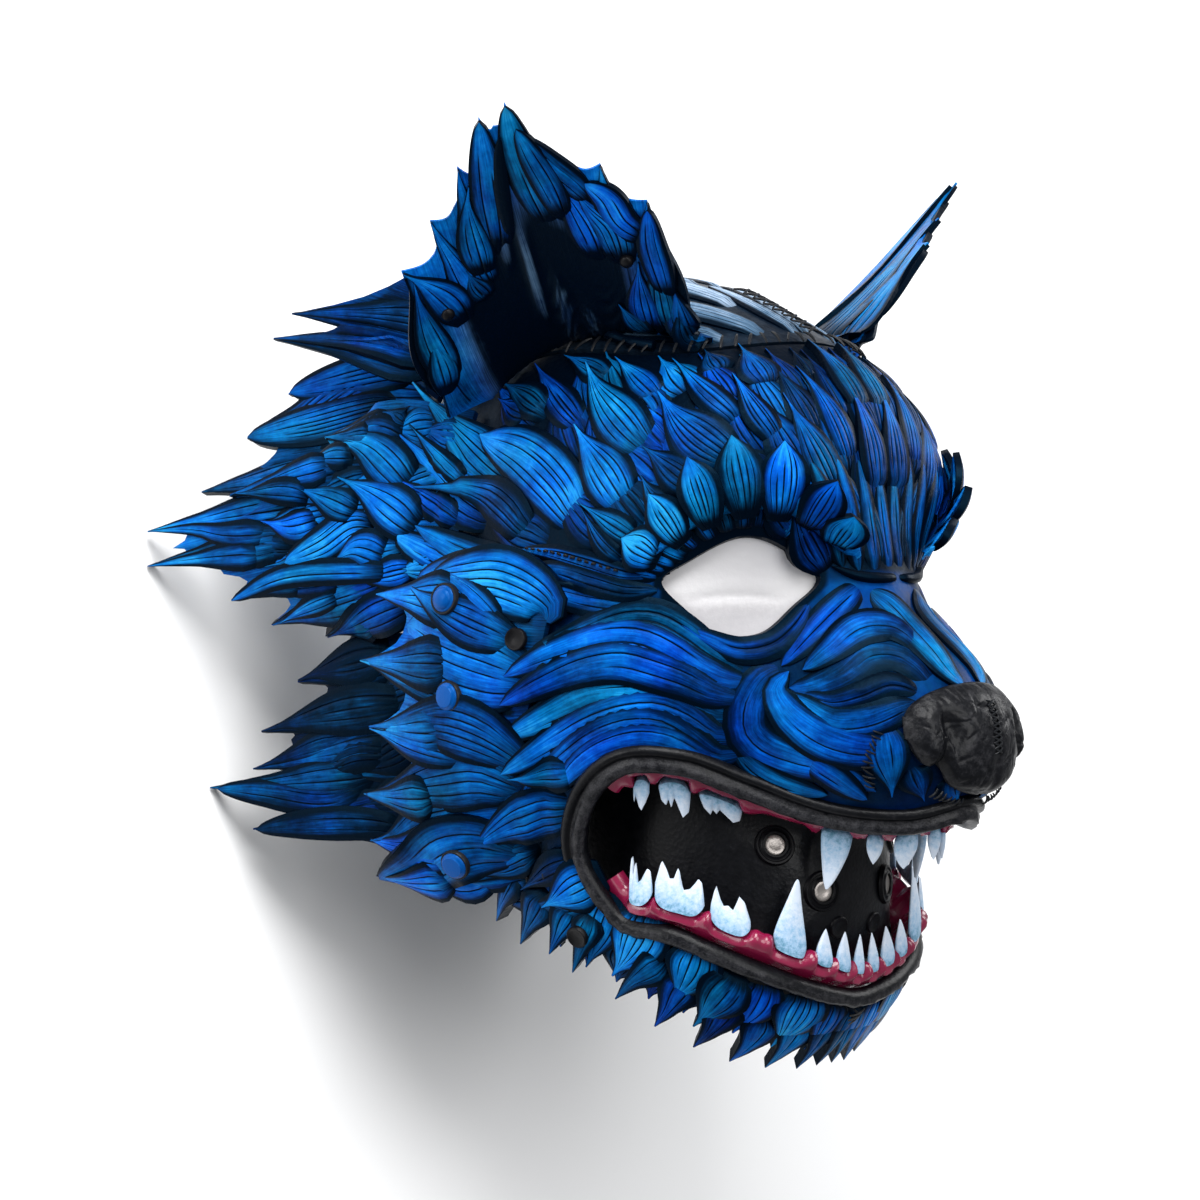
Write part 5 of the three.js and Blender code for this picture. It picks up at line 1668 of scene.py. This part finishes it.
def makeEar():
    rng = np.random.default_rng(ear["seed"])
    front = earFrame()[3]
    step = 1.0 / (len(ear["edge"]) - 1)

    def dyeAt(t, s, side):
        hollow = earHollow(t, s)
        every = 16 if side > 0 else 6
        line = (np.mod(np.arange(t.shape[0]), every)[:, None] == 0) & (s > 0.05) & (s < 0.96)
        cut = np.where(line, 0.85, 0.12)
        if side > 0:
            # Painted sheen: the ridges of the folds in the hollow are painted lighter
            sheen = np.clip(earRelief(t, s) / 1.6, 0.0, 1.0)
            cut = np.maximum(cut * (1 - hollow), hollow * (1.0 - 0.85 * sheen))
        grey = hollow if side > 0 else 0.0 * s
        return np.stack([cut, 0.5 + 0.12 * s - 0.3 * grey, grey], -1)

    def onEar(marks, side=1.0):
        return ontoSheet(earSurface, step, ear["thick"], marks[:, 0], marks[:, 1], front, side)

    places, way, off = rowPoints(earRoll["path"], earRoll["lift"], 3.0)
    turn = circle(10)[None, :, None]
    out = unit(np.cross(way, off))
    radius = earRoll["thick"] / 2.0 * (1 + 0.08 * rng.normal(size=(len(places), 1, 1)))
    rings = places[:, None] + radius * (out[:, None] * np.cos(turn) + off[:, None] * np.sin(turn))
    roll = tubesFrom(rings[None], np.tile([0.9, 0.4, 1.0], (1, *rings.shape[:2], 1)))
    carving = dict(sink=1.2, rootSink=1.2, sides=ear["sides"])
    form = together(
        sheetFrom(earSurface, step, ear["thick"], 8, 56, dyeAt, front, earRelief), roll,
        laidLeaves(earLeaves, onEar, rng, crown=0.8, rise=0.3, lift=0.3, rootDark=1.0, **carving),
        laidLeaves(earBack, lambda marks: onEar(marks, -1.0), rng, crown=0.5, rise=0.1, lift=0.2, **carving),
    )
    finishPair("ear_{}_hide", form, blueHide, "blue_leather", "ear_{}")


makeEar()
print("ears made")

# The lip: a smooth outer ridge and a rough inner one, as (outward, lift) in mm
lip = {
    "stations": 200,
    "section": [
        (-4.6, -1.8), (0.0, -2.2), (4.6, -1.8), (5.9, 0.0), (6.0, 2.2), (5.2, 3.9), (3.9, 4.6), (2.6, 4.2),
        (1.7, 3.2), (0.9, 3.3), (-0.2, 4.9), (-1.8, 6.1), (-3.6, 6.1), (-5.0, 5.0), (-5.9, 3.0), (-5.9, 0.4),
    ],
    "rough": (9, 14), "roughness": 0.32, "seed": 3,
}


def makeLip():
    rng = np.random.default_rng(lip["seed"])
    count = lip["stations"]
    t = np.linspace(0.0, 1.0, count + 1)[:-1]
    section = np.array(lip["section"])
    lift = np.tile(section[:, 1], (count, 1))
    first, last = lip["rough"]
    lift[:, first:last] += rng.normal(0.0, lip["roughness"], (count, last - first))
    rings = np.stack([lipPoint(t, np.full(count, section[k, 0]), lift[:, k]) for k in range(len(section))], 1)
    dyeAndShading = np.zeros((count, len(section), 3))
    dyeAndShading[:, 8:10, 0] = 0.6
    dyeAndShading[..., 1] = 0.4 + 0.35 * (section[None, :, 1] > 3.0)
    dyeAndShading[:, first:last, 2] = 1.0
    finishForm("lip_roll", loopFrom(rings, dyeAndShading), blackLeather, "black_leather", "lip", 80)


teeth = {
    "upper": {
        "incisor_inner": (3.6, 14, 9, "petal"), "incisor_middle": (7.6, 15, 10, "petal"),
        "incisor_outer": (11.6, 13, 8, "petal"), "canine": (16.5, 26, 13, "fang"),
        "molar_front": (34, 9, 17, "low"), "molar_middle": (44.5, 15, 19, "torn"),
        "molar_back": (55.5, 14, 15, "wedge"),
    },
    "lower": {
        "incisor_inner": (3.4, 15, 9, "peg"), "incisor_middle": (9.4, 15, 10, "peg"),
        "incisor_outer": (15.2, 14, 10, "peg"), "canine": (24, 31, 17, "spike"),
        "molar_front": (36.5, 15, 17, "notched"), "molar_middle": (46, 18, 17, "ragged"),
        "molar_back": (55, 17, 16, "ragged"),
    },
    "behindLip": 12.8, "sunk": 6.0,
}
# Width along the length of the pointed teeth, and how far each leans to the front at its tip
toothPoints = {
    "petal": (marksOf("0 .72  .18 .96  .4 1  .65 .82  .88 .38  1 .06"), -0.14),
    "fang": (marksOf("0 .98  .15 1  .4 .86  .7 .56  .92 .28  1 .08"), -0.34),
    "peg": (marksOf("0 .84  .12 1  .35 .88  .7 .5  .92 .2  1 .06"), 0.12),
    "spike": (marksOf("0 .8  .1 1  .3 .84  .65 .46  .9 .2  .97 .14  1 .05"), 0.22),
}
# The torn edges of the molars, from the rear to the front, as shares of their width and length
toothEdges = {
    "low": marksOf("-.5 .4  -.38 .8  -.2 1  -.14 .72  -.05 .86  .02 .6  .3 1  .46 .8  .5 .35"),
    "torn": marksOf("-.5 .3  -.42 .62  -.28 .74  -.22 .56  -.14 .8  -.06 .5  .02 .62  .26 1  .46 .78  .5 .4"),
    "wedge": marksOf("-.5 .55  -.42 .7  -.34 .5  -.1 .86  .1 1  .34 .76  .5 .5"),
    "notched": marksOf("-.5 .45  -.38 1  -.28 .66  -.2 .5  -.08 .56  .04 .48  .2 .94  .34 .84  .5 .4"),
    "ragged": marksOf("-.5 .5  -.36 1  -.26 .8  -.2 .6  -.12 .62  -.04 .92  0 .66  .04 .4  .16 .48  .36 .8  .46 .74"
        "  .5 .4"),
}
gumLook = {"span": 0.215, "stations": 260, "near": 11.4, "peak": 4.4}


def toothFrame(az, middle):
    way = 1.0 if middle == 0.0 else -1.0
    steps = np.linspace(0.0, gumLook["span"], 400)
    run = lipAngles(middle + way * steps)[:, 0]
    t = middle + way * np.interp(az, run, steps)
    stretch = np.linalg.norm(lipPoint(t + 0.01, 0.0, 0.0) - lipPoint(t, 0.0, 0.0)) / 0.01
    return t, 1.0 / stretch


def toothForm(az, length, width, kind, middle):
    t, perMillimetre = toothFrame(az, middle)
    front = -1.0 if middle == 0.0 else 1.0
    onward = np.array([0.0, 0.0, front])
    depth = min(width * 0.5, 5.6)

    def foot(x, deep):
        x = np.asarray(x, dtype=float)
        return lipPoint(t + x * perMillimetre, np.full(x.shape, -teeth["behindLip"]), np.asarray(deep) - teeth["sunk"])

    if kind in toothPoints:
        marks, lean = toothPoints[kind]
        h = np.array([0, 0.05, 0.12, 0.2, 0.3, 0.4, 0.5, 0.6, 0.7, 0.8, 0.88, 0.94, 0.975, 1.0])
        wide = np.interp(h, *np.array(marks).T)
        wide = np.convolve(np.pad(wide, 1, mode="edge"), [0.2, 0.6, 0.2], mode="valid")
        turn = circle(24)
        x = np.sign(np.cos(turn)) * np.abs(np.cos(turn)) ** 0.8 * width / 2.0
        deep = np.sign(np.sin(turn)) * np.abs(np.sin(turn)) ** 0.8 * depth / 2.0
        xs = x[None] * wide[:, None] + front * lean * width * (h ** 1.5)[:, None]
        ds = deep[None] * (0.4 + 0.6 * wide)[:, None] * (1 - 0.5 * h ** 3)[:, None]
        flat = foot(xs * (1 - 0.5 * h)[:, None], ds)
        sideways = foot([1.0], [0.0]) - foot([0.0], [0.0])
        points = flat + sideways * (xs * (0.5 * h)[:, None])[..., None] + onward * (h * length)[:, None, None]
        dyeAndShading = np.stack([np.repeat((1 - h)[:, None], 24, 1), np.repeat(np.cos(turn)[None], 14, 0), 0 * xs], -1)
        return tubesFrom(points[None], dyeAndShading[None])
    marks = np.array(toothEdges[kind])
    x = np.linspace(-0.5, 0.5, 41)
    edge = np.interp(x, *marks.T)
    h = np.linspace(0.0, 1.0, 9)
    arch = 0.22 * (2 * np.abs(x)) ** 3
    share = arch[:, None] + (edge - arch)[:, None] * h[None]
    across = front * x * width
    round_ = np.sqrt(np.maximum(1 - (1.96 * np.abs(x)) ** 6, 0.02))
    half = depth / 2.0 * round_[:, None] * (1 - 0.72 * h ** 2)[None]
    faces = []
    for side in (1.0, -1.0):
        base = foot(np.repeat(across[:, None], len(h), 1), side * half)
        faces.append(base + onward * (share * length)[..., None])
    dyeAndShading = np.stack([1 - share, 0 * share + np.abs(x)[:, None], 0 * share], -1).reshape(-1, 3)
    return slabFrom(faces[0], faces[1], np.concatenate([dyeAndShading, dyeAndShading]))


def makeTeeth():
    for jaw, middle in (("upper", 0.0), ("lower", 0.5)):
        for name, (az, length, width, kind) in teeth[jaw].items():
            form = toothForm(az, length, width, kind, middle)
            finishPair(f"{jaw}_{name}_{{}}_tooth", form, toothPaint, "tooth_white", f"{jaw}_{name}_{{}}", 60)


def makeGum(jaw, middle):
    steps = np.linspace(-gumLook["span"], gumLook["span"], gumLook["stations"])
    t = middle + steps
    apart = np.full(t.shape, 9.0)
    for az, length, width, kind in teeth[jaw].values():
        at, perMillimetre = toothFrame(az, middle)
        off = np.abs(np.abs(steps) - abs(at - middle)) / (0.5 * width * perMillimetre)
        apart = np.minimum(apart, off)
    peak = ramp(apart, 0.7, 1.2) * (1 - 0.72 * ramp(apart, 1.25, 2.1))
    edge = -(gumLook["near"] + gumLook["peak"] * peak)
    swell = 0.9 * (1 - ramp(apart, 0.3, 1.0))
    one = np.ones(t.shape)
    section = [
        (2.0 * one, -3.0 * one), (2.0 * one, -9.0 * one), (edge + 1.4, -9.4 * one), (edge + 0.2, -8.0 * one),
        (edge - 0.1, -5.8 * one), (edge + 0.5, -3.6 + 0.4 * swell), (edge + 1.9, -2.3 + swell),
        (-9.0 * one, -1.9 + swell), (-7.0 * one, -2.2 * one),
    ]
    rings = np.stack([lipPoint(t, outward, lift) for outward, lift in section], 1)
    form = tubesFrom(rings[None], plainDye(len(t) * len(section))[None].reshape(1, len(t), len(section), 3))
    finishForm(f"gum_{jaw}_flesh", form, gumPaint, "gum_crimson", f"gum_{jaw}", 70)


guard = {"angle": 105.0, "half": (68.0, 86.0), "back": 27.0, "low": -168.0, "high": -75.0, "behind": 15.0, "thick": 3.0}


def guardPoint(angle, z):
    angle, z = np.broadcast_arrays(np.radians(angle), z)
    wide, deep = guard["half"]
    point = np.stack([wide * np.sin(angle), guard["back"] + deep * np.cos(angle), z], -1)
    az, el, far = anglesOf(point)
    return outTo(az, el, np.minimum(far, headRadius(az, el) - guard["behind"]))


def guardNormal(angle, z):
    across = guardPoint(angle + 2.0, z) - guardPoint(angle - 2.0, z)
    upward = guardPoint(angle, z + 2.0) - guardPoint(angle, z - 2.0)
    return unit(np.cross(upward, across))


def makeGuard():
    angle, z = np.meshgrid(
        np.linspace(-guard["angle"], guard["angle"], 91), np.linspace(guard["low"], guard["high"], 33), indexing="ij"
    )
    middle, normal = guardPoint(angle, z), guardNormal(angle, z)
    half = normal * guard["thick"] / 2.0
    form = slabFrom(middle + half, middle - half, plainDye(2 * angle.size, 0.3, 0.3))
    finishForm("mouth_guard_wall", form, blackLeather, "black_leather", "mouth_guard")


nose = {
    "wide": 12.5, "middle": -14.0, "low": 8.0, "high": 6.0, "lift": 7.5, "thick": 5.6, "notch": (8.2, 1.4, 0.26),
    "seed": 17, "creases": 150,
}


def nosePits(side, el):
    hole = 3.8 * np.exp(-((side - 7.2 - 0.10 * (el + 14)) / 1.3) ** 2 - ((el + 13.4) / 2.0) ** 2)
    tail = 2.4 * np.exp(-((side - 7.9 + 0.06 * (el + 16)) / 0.7) ** 2) * ramp(el, -13.0, -15.5)
    return np.maximum(hole, tail)


def noseRelief(az, el):
    rng = np.random.default_rng(nose["seed"])
    side = np.abs(az)
    rim = np.minimum((nose["wide"] - side) / 2.6, np.minimum((el - noseLow(az)) / 2.6, (noseHigh(az) - el) / 2.0))
    rounded = -4.2 * (1 - np.clip(rim, 0, 1)) ** 2
    body = 1.7 * np.exp(-(side / 5.6) ** 4) * (1 - 0.4 * ramp(el, -13, -8))
    wing = 2.3 * np.exp(-((side - 10.3) / 1.9) ** 2) * np.exp(-((el + 15.6) / 3.6) ** 2)
    seam = -0.8 * np.exp(-(az / 0.7) ** 2)
    # Short creases, each at a place of its own
    crease = np.zeros(az.shape)
    for _ in range(nose["creases"]):
        a0, e0, turn = rng.uniform(-12, 12), rng.uniform(-22, -8), rng.uniform(0, np.pi)
        long, thin = rng.uniform(0.9, 2.4), rng.uniform(0.14, 0.3)
        x, y = (az - a0) * np.cos(turn) + (el - e0) * np.sin(turn), (el - e0) * np.cos(turn) - (az - a0) * np.sin(turn)
        crease -= rng.uniform(0.25, 0.6) * np.exp(-(x / long) ** 2 - (y / thin) ** 2)
    return rounded + body + wing + seam + crease - nosePits(side, el)


def noseOpen(az):
    return np.sqrt(np.maximum(1 - (np.asarray(az) / nose["wide"]) ** 2, 0.04))


def noseLow(az):
    at, spread, depth = nose["notch"]
    return nose["middle"] - nose["low"] * noseOpen(az) * (1 - depth * np.exp(-((np.abs(az) - at) / spread) ** 2))


def noseHigh(az):
    return nose["middle"] + nose["high"] * noseOpen(az)


def makeNose():
    azimuths = np.linspace(-nose["wide"], nose["wide"], 121)
    form = headShell(azimuths, noseLow, noseHigh, 80, lift=nose["lift"], thick=nose["thick"], relief=noseRelief)
    dyeAndShading = plainDye(len(form[0]), 0.0, 0.4)
    az, el, _ = anglesOf(form[0])
    dyeAndShading[:, 2] = 0.5 * (1 - np.clip(nosePits(np.abs(az), el), 0.0, 1.0))
    finishForm("nose_pad", (form[0], form[1], dyeAndShading), blackLeather, "black_leather", "nose", 60)


eyeBlank = {"az": (12.5, 52.5), "lift": -6.2, "thick": 1.6, "crease": 0.7}


def makeEyeBlanks():
    inner, outer = eyeBlank["az"]
    opened = lambda az: np.maximum(np.sin(np.pi * (np.abs(az) - inner) / (outer - inner)), 0.0) ** 0.75

    def relief(az, el):
        line = 3.0 + 3.0 * np.sin(np.pi * (az - inner) / (outer - inner))
        bulge = 1.4 * np.exp(-((az - 31) / 12) ** 2 - ((el - 5) / 8) ** 2)
        crease = -eyeBlank["crease"] * np.exp(-((el - line) / 0.9) ** 2) * ramp(az, 20, 28) * (1 - ramp(az, 38, 46))
        return bulge + crease + 0.5 * ramp(el, line, line + 3)

    form = headShell(
        np.linspace(inner, outer, 49), lambda az: 7.5 - 13 * opened(az), lambda az: 9.5 + 10 * opened(az), 34,
        lift=eyeBlank["lift"], thick=eyeBlank["thick"], relief=relief,
    )
    # The lower half faces the light and is painted a little greyer
    _, el, _ = anglesOf(form[0])
    form[2][:, 0] = 0.15 + 0.7 * (1 - ramp(el, 1.0, 8.0))
    finishPair("eye_blank_{}_shell", form, eyeWhite, "eye_white", "eye_blank_{}")


makeLip()
makeTeeth()
makeGum("upper", 0.0)
makeGum("lower", 0.5)
makeGuard()
makeNose()
makeEyeBlanks()
print("mouth, nose and eyes made")

# Small things that repeat are set out on points by one tree. Each point carries two ways of its own:
# "along", which the small shape's X follows, and "off", which its Z follows.
stampSockets = (
    ("Shape", "NodeSocketObject"), ("Finish", "NodeSocketMaterial"), ("Size", "NodeSocketFloat"),
    ("Size spread", "NodeSocketFloat"), ("Seed", "NodeSocketInt"),
)


def stampTree():
    tree = bpy.data.node_groups.new("stampShapes", "GeometryNodeTree")
    tree.interface.new_socket("Points", in_out="INPUT", socket_type="NodeSocketGeometry")
    for name, kind in stampSockets:
        tree.interface.new_socket(name, in_out="INPUT", socket_type=kind)
    tree.interface.new_socket("Geometry", in_out="OUTPUT", socket_type="NodeSocketGeometry")
    given = nodeIn(tree, "NodeGroupInput").outputs
    turn = None
    for attribute, axis, pivot in (("along", "X", "AUTO"), ("off", "Z", "X")):
        named = nodeIn(tree, "GeometryNodeInputNamedAttribute", {"Name": attribute}, data_type="FLOAT_VECTOR")
        values = {"Vector": named.outputs["Attribute"]}
        if turn is not None:
            values["Rotation"] = turn
        turn = nodeIn(tree, "FunctionNodeAlignRotationToVector", values, axis=axis, pivot_axis=pivot).outputs[0]
    chance = nodeIn(tree, "FunctionNodeRandomValue", {"Seed": given["Seed"]}, data_type="FLOAT")
    low, high = (s for s in chance.inputs if s.type == "VALUE" and s.enabled)
    tree.links.new(mathOf(given["Size"], "SUBTRACT", given["Size spread"]), low)
    tree.links.new(plus(given["Size"], given["Size spread"]), high)
    stamp = nodeIn(tree, "GeometryNodeInstanceOnPoints", {
        "Points": given["Points"],
        "Instance": nodeIn(tree, "GeometryNodeObjectInfo", {"Object": given["Shape"]}).outputs["Geometry"],
        "Rotation": turn,
        "Scale": next(s for s in chance.outputs if s.type == "VALUE" and s.enabled),
    })
    real = nodeIn(tree, "GeometryNodeRealizeInstances", {0: stamp.outputs[0]})
    finish = nodeIn(tree, "GeometryNodeSetMaterial", {"Geometry": real.outputs[0], "Material": given["Finish"]})
    nodeIn(tree, "NodeGroupOutput", {0: finish.outputs[0]})
    return tree


stamps = stampTree()


# Small shapes, in mm in their own frame: X along, Z off the surface. Each is a run of rings.
def ringShape(name, rings):
    count, corners, _ = rings.shape
    ids = np.arange(count * corners).reshape(count, corners)
    groups = [ringQuads(ids[:-1], ids[1:]), ids[:1, ::-1], ids[-1:]]
    points, groups, _ = closedForm(rings.reshape(-1, 3) / 1000.0, groups, None)
    mesh = meshFrom(name, points, groups)
    mesh.shade_smooth()
    mesh.set_sharp_from_angle(angle=math.radians(50))
    return placed(name, mesh)


def threadShape(long, thick, high, steps=5, corners=6):
    x = np.linspace(-0.5, 0.5, steps)[:, None]
    turn = circle(corners)[None]
    fat = thick / 2.0 * (1 - 0.35 * (2 * np.abs(x)) ** 3)
    rise = high * np.cos(np.pi * x) - 0.4
    rings = np.stack([x * long + 0 * turn, np.cos(turn) * fat, rise + np.sin(turn) * fat], -1)
    return ringShape("threadShape", rings)


def turnedShape(name, profile, corners=16):
    turn = circle(corners)
    rings = np.stack([np.stack([r * np.cos(turn), r * np.sin(turn), np.full(corners, z)], -1) for r, z in profile])
    return ringShape(name, rings)


# One piece from a small shape stamped on points given in the head frame
def stampPiece(name, shape, places, along, off, material, size=1.0, spread=0.0, seed=1):
    mesh = bpy.data.meshes.new(name)
    mesh.from_pydata(laidDown(places).tolist(), [], [])
    setAttribute(mesh, "along", "FLOAT_VECTOR", "vector", turned(along))
    setAttribute(mesh, "off", "FLOAT_VECTOR", "vector", turned(off))
    points = placed(name, mesh)
    modifier = points.modifiers.new("stamps", "NODES")
    modifier.node_group = stamps
    values = {"Shape": shape, "Finish": material, "Size": size, "Size spread": spread, "Seed": seed}
    for item in stamps.interface.items_tree:
        if item.in_out == "INPUT" and item.name in values:
            modifier[item.identifier] = values[item.name]
    bpy.context.view_layer.update()
    shaped = bpy.data.meshes.new_from_object(points.evaluated_get(bpy.context.evaluated_depsgraph_get()))
    shaped.name = name
    dropAll(points)
    return placed(name, shaped)


# Press studs on the cheek plates, as (t, s) on the plate, and their turned profiles as (radius, height)
snap = {
    "at": {"top": (1 / 12, 0.5), "middle": (4 / 12, 0.5), "low": (10 / 12, 0.5)},
    "lift": 4.6,
    "corners": 28,
    "domed": [
        (0.4, 4.6), (2.2, 4.4), (3.8, 3.8), (4.7, 2.9), (4.9, 2.2), (5.4, 2.0), (5.9, 1.4), (6.1, 0.2), (6.0, -1.2),
    ],
    "flat": [(0.4, 3.9), (3.0, 3.9), (4.6, 3.7), (4.9, 3.1), (5.2, 2.9), (5.8, 2.6), (6.1, 1.6), (6.0, -1.2)],
    "rim": [(5.7, 1.0), (6.0, 1.7), (6.7, 1.7), (7.1, 1.0), (7.1, -1.6), (5.7, -1.6)],
}


def makeSnaps():
    surface, step = fanSurface(fans["cheek"])
    ring = turnedShape("ringShape", snap["rim"], snap["corners"])
    for name, (t, s) in snap["at"].items():
        shape = turnedShape("snapShape", snap["domed" if name == "top" else "flat"], snap["corners"])
        t, s = np.array([t]), np.array([s])
        place, off = surface(t, s), surfaceNormal(surface, step, t, s)
        along = unit(surface(t, s + 0.05) - place)
        place = place + off * snap["lift"]
        for side, sign in (("right", 1.0), ("left", mirrorX)):
            ways = place * sign, along * sign, off * sign
            cap = stampPiece(f"snap_{name}_{side}_cap", shape, *ways, snapPaint)
            finishPiece(cap, "dark_blue_leather", f"snap_{name}_{side}")
            finishPiece(stampPiece(f"snap_{name}_{side}_rim", ring, *ways, threadBlack), "black_leather")
        dropAll(shape)
    dropAll(ring)


makeSnaps()

# Thread, lacing and metal. Rows run through (azimuth, elevation) marks on the hide.
thread = {
    "seed": 41,
    "rows": {
        # name: (marks, lift, spacing, length, thickness, slant in degrees)
        "hairline": ([(2, 54.2), (38, 53.7), (75, 58.2), (95, 57.2), (111, 50.4)], 3.4, 6.5, 9.0, 1.3, 68.0),
        "nosePatch": ([(15.5, -15.0), (16.5, -19.5), (15.5, -23.5)], 3.0, 2.2, 5.0, 0.8, 70.0),
        "noseFoot": ([(2.5, -23.3), (5.0, -23.0), (8.0, -22.2)], 4.0, 2.6, 4.5, 1.0, 60.0),
        "cheekEdge": ([(58, 10.9), (65, 13), (74, 15.5), (83, 16.9)], 3.0, 3.6, 2.2, 1.2, 0.0),
        "jawSeam": ([(78, -46.6), (84, -48.6), (92, -50.0)], 5.0, 6.0, 7.0, 1.3, 70.0),
    },
    "zigzags": {
        "noseLace": ([(0.4, -9.8), (0.4, -12.0), (0.4, -14.2), (0.2, -16.4)], 8.9, 2.3, 6.0, 1.0, 24.0),
        "crownLace": ([(0.0, 55.0), (0.0, 63.0), (0.0, 72.0)], 4.2, 6.0, 12.0, 1.3, 30.0),
        "chinLace": ([(0.3, -56.0), (0.3, -58.0), (0.3, -59.4)], 6.8, 3.0, 8.0, 1.1, 30.0),
    },
}


def slanted(way, across, degrees):
    a = np.broadcast_to(np.radians(degrees), way.shape[:1])[:, None]
    return unit(way * np.cos(a) + across * np.sin(a))


def makeThread():
    rng = np.random.default_rng(thread["seed"])
    for name, (marks, lift, spacing, long, thick, slant) in thread["rows"].items():
        places, way, off = rowPoints(marks, lift, spacing)
        along = slanted(way, np.cross(off, way), slant + rng.uniform(-22, 22, len(places)))
        shape = threadShape(long, thick, 0.9)
        both = [withMirror(rows) for rows in (places, along, off)]
        finishPiece(stampPiece(f"{name}_stitches", shape, *both, threadBlack, 1.0, 0.14), "black_leather")
        dropAll(shape)
    for name, (marks, lift, spacing, long, thick, slant) in thread["zigzags"].items():
        places, way, off = rowPoints(marks, lift, spacing)
        shape = threadShape(long, thick, 0.8)
        across = unit(np.cross(off, way))
        crossed = np.vstack([slanted(across, way, slant), slanted(across, -way, slant)])
        doubled = np.vstack([places, places + off * 0.3]), crossed, np.vstack([off, off])
        finishPiece(stampPiece(f"{name}_lacing", shape, *doubled, threadBlack, 1.0, 0.12), "black_leather")
        dropAll(shape)


makeThread()

# Small round things: where they sit, and their turned profiles as (radius, height). The guard's are at
# (angle, height), the jaw's at (azimuth, elevation), and those of the cheek plate and the ear at (t, s).
metal = {
    "eyelets": [(34.8, -106.0), (18.4, -124.8)],
    "guardHole": [(10.2, -143.2)],
    "cheekHole": [(0.185, 0.137)],
    "jawHole": [(68.6, -54.7)],
    "rivets": [(0.783, 0.645), (0.15, 0.66)],
    "eyelet": [
        (4.3, 0.2), (4.3, 1.0), (4.8, 1.7), (5.6, 1.7), (6.2, 0.8), (7.0, 0.7), (7.6, 1.3), (8.4, 1.2), (9.0, -0.4),
        (4.3, -0.4),
    ],
    "disc": [(0.4, 0.5), (2.4, 0.6), (3.8, 0.9), (4.4, 0.6), (4.4, -0.6)],
    "hole": [(0.3, 0.3), (3.2, 0.35), (3.9, 0.9), (4.5, 1.0), (5.0, 0.5), (5.0, -1.5)],
    "rivet": [(0.3, 1.9), (1.7, 1.7), (2.7, 1.0), (3.0, 0.2), (3.0, -2.6)],
}


def makeMetal():
    axis = np.array([0, 27.0, 0])  # a point on the guard's own axis
    shapes = [
        turnedShape(f"{name}Shape", metal[name], corners)
        for name, corners in (("eyelet", 28), ("disc", 24), ("hole", 24), ("rivet", 20))
    ]
    eyelet, disc, hole, rivet = shapes

    def setOut(name, shape, place, off, lift, material=blackEnamel, outward=True):
        if outward:
            off = np.where((dot(off, place - axis) < 0)[:, None], -off, off)
        along = unit(np.cross(off, np.array([0.0, 0.0, 1.0])))
        both = [withMirror(rows) for rows in (place + off * lift, along, off)]
        finishPiece(stampPiece(name, shape, *both, material), "black_leather")

    onGuard = lambda spots: (guardPoint(*spots), guardNormal(*spots))
    eyelets, guardHole, cheekHole, jawHole, rivets = (
        np.array(metal[key]).T for key in ("eyelets", "guardHole", "cheekHole", "jawHole", "rivets")
    )
    surface, step = fanSurface(fans["cheek"])
    onWall = guard["thick"] / 2.0
    setOut("guard_eyelets", eyelet, *onGuard(eyelets), onWall)
    setOut("guard_eyelet_middles", disc, *onGuard(eyelets), onWall, nickel)
    setOut("guard_holes", hole, *onGuard(guardHole), onWall)
    setOut("cheek_holes", hole, surface(*cheekHole), surfaceNormal(surface, step, *cheekHole), 4.2)
    setOut("jaw_holes", hole, onHead(*jawHole), headNormal(onHead(*jawHole)), 11.0)
    off = surfaceNormal(earSurface, 1.0 / (len(ear["edge"]) - 1), *rivets, earFrame()[3])
    setOut("ear_rivets", rivet, earSurface(*rivets), off, 3.4, outward=False)
    dropAll(*shapes)


makeMetal()
print("stitches, lacing, eyelets and rivets made")
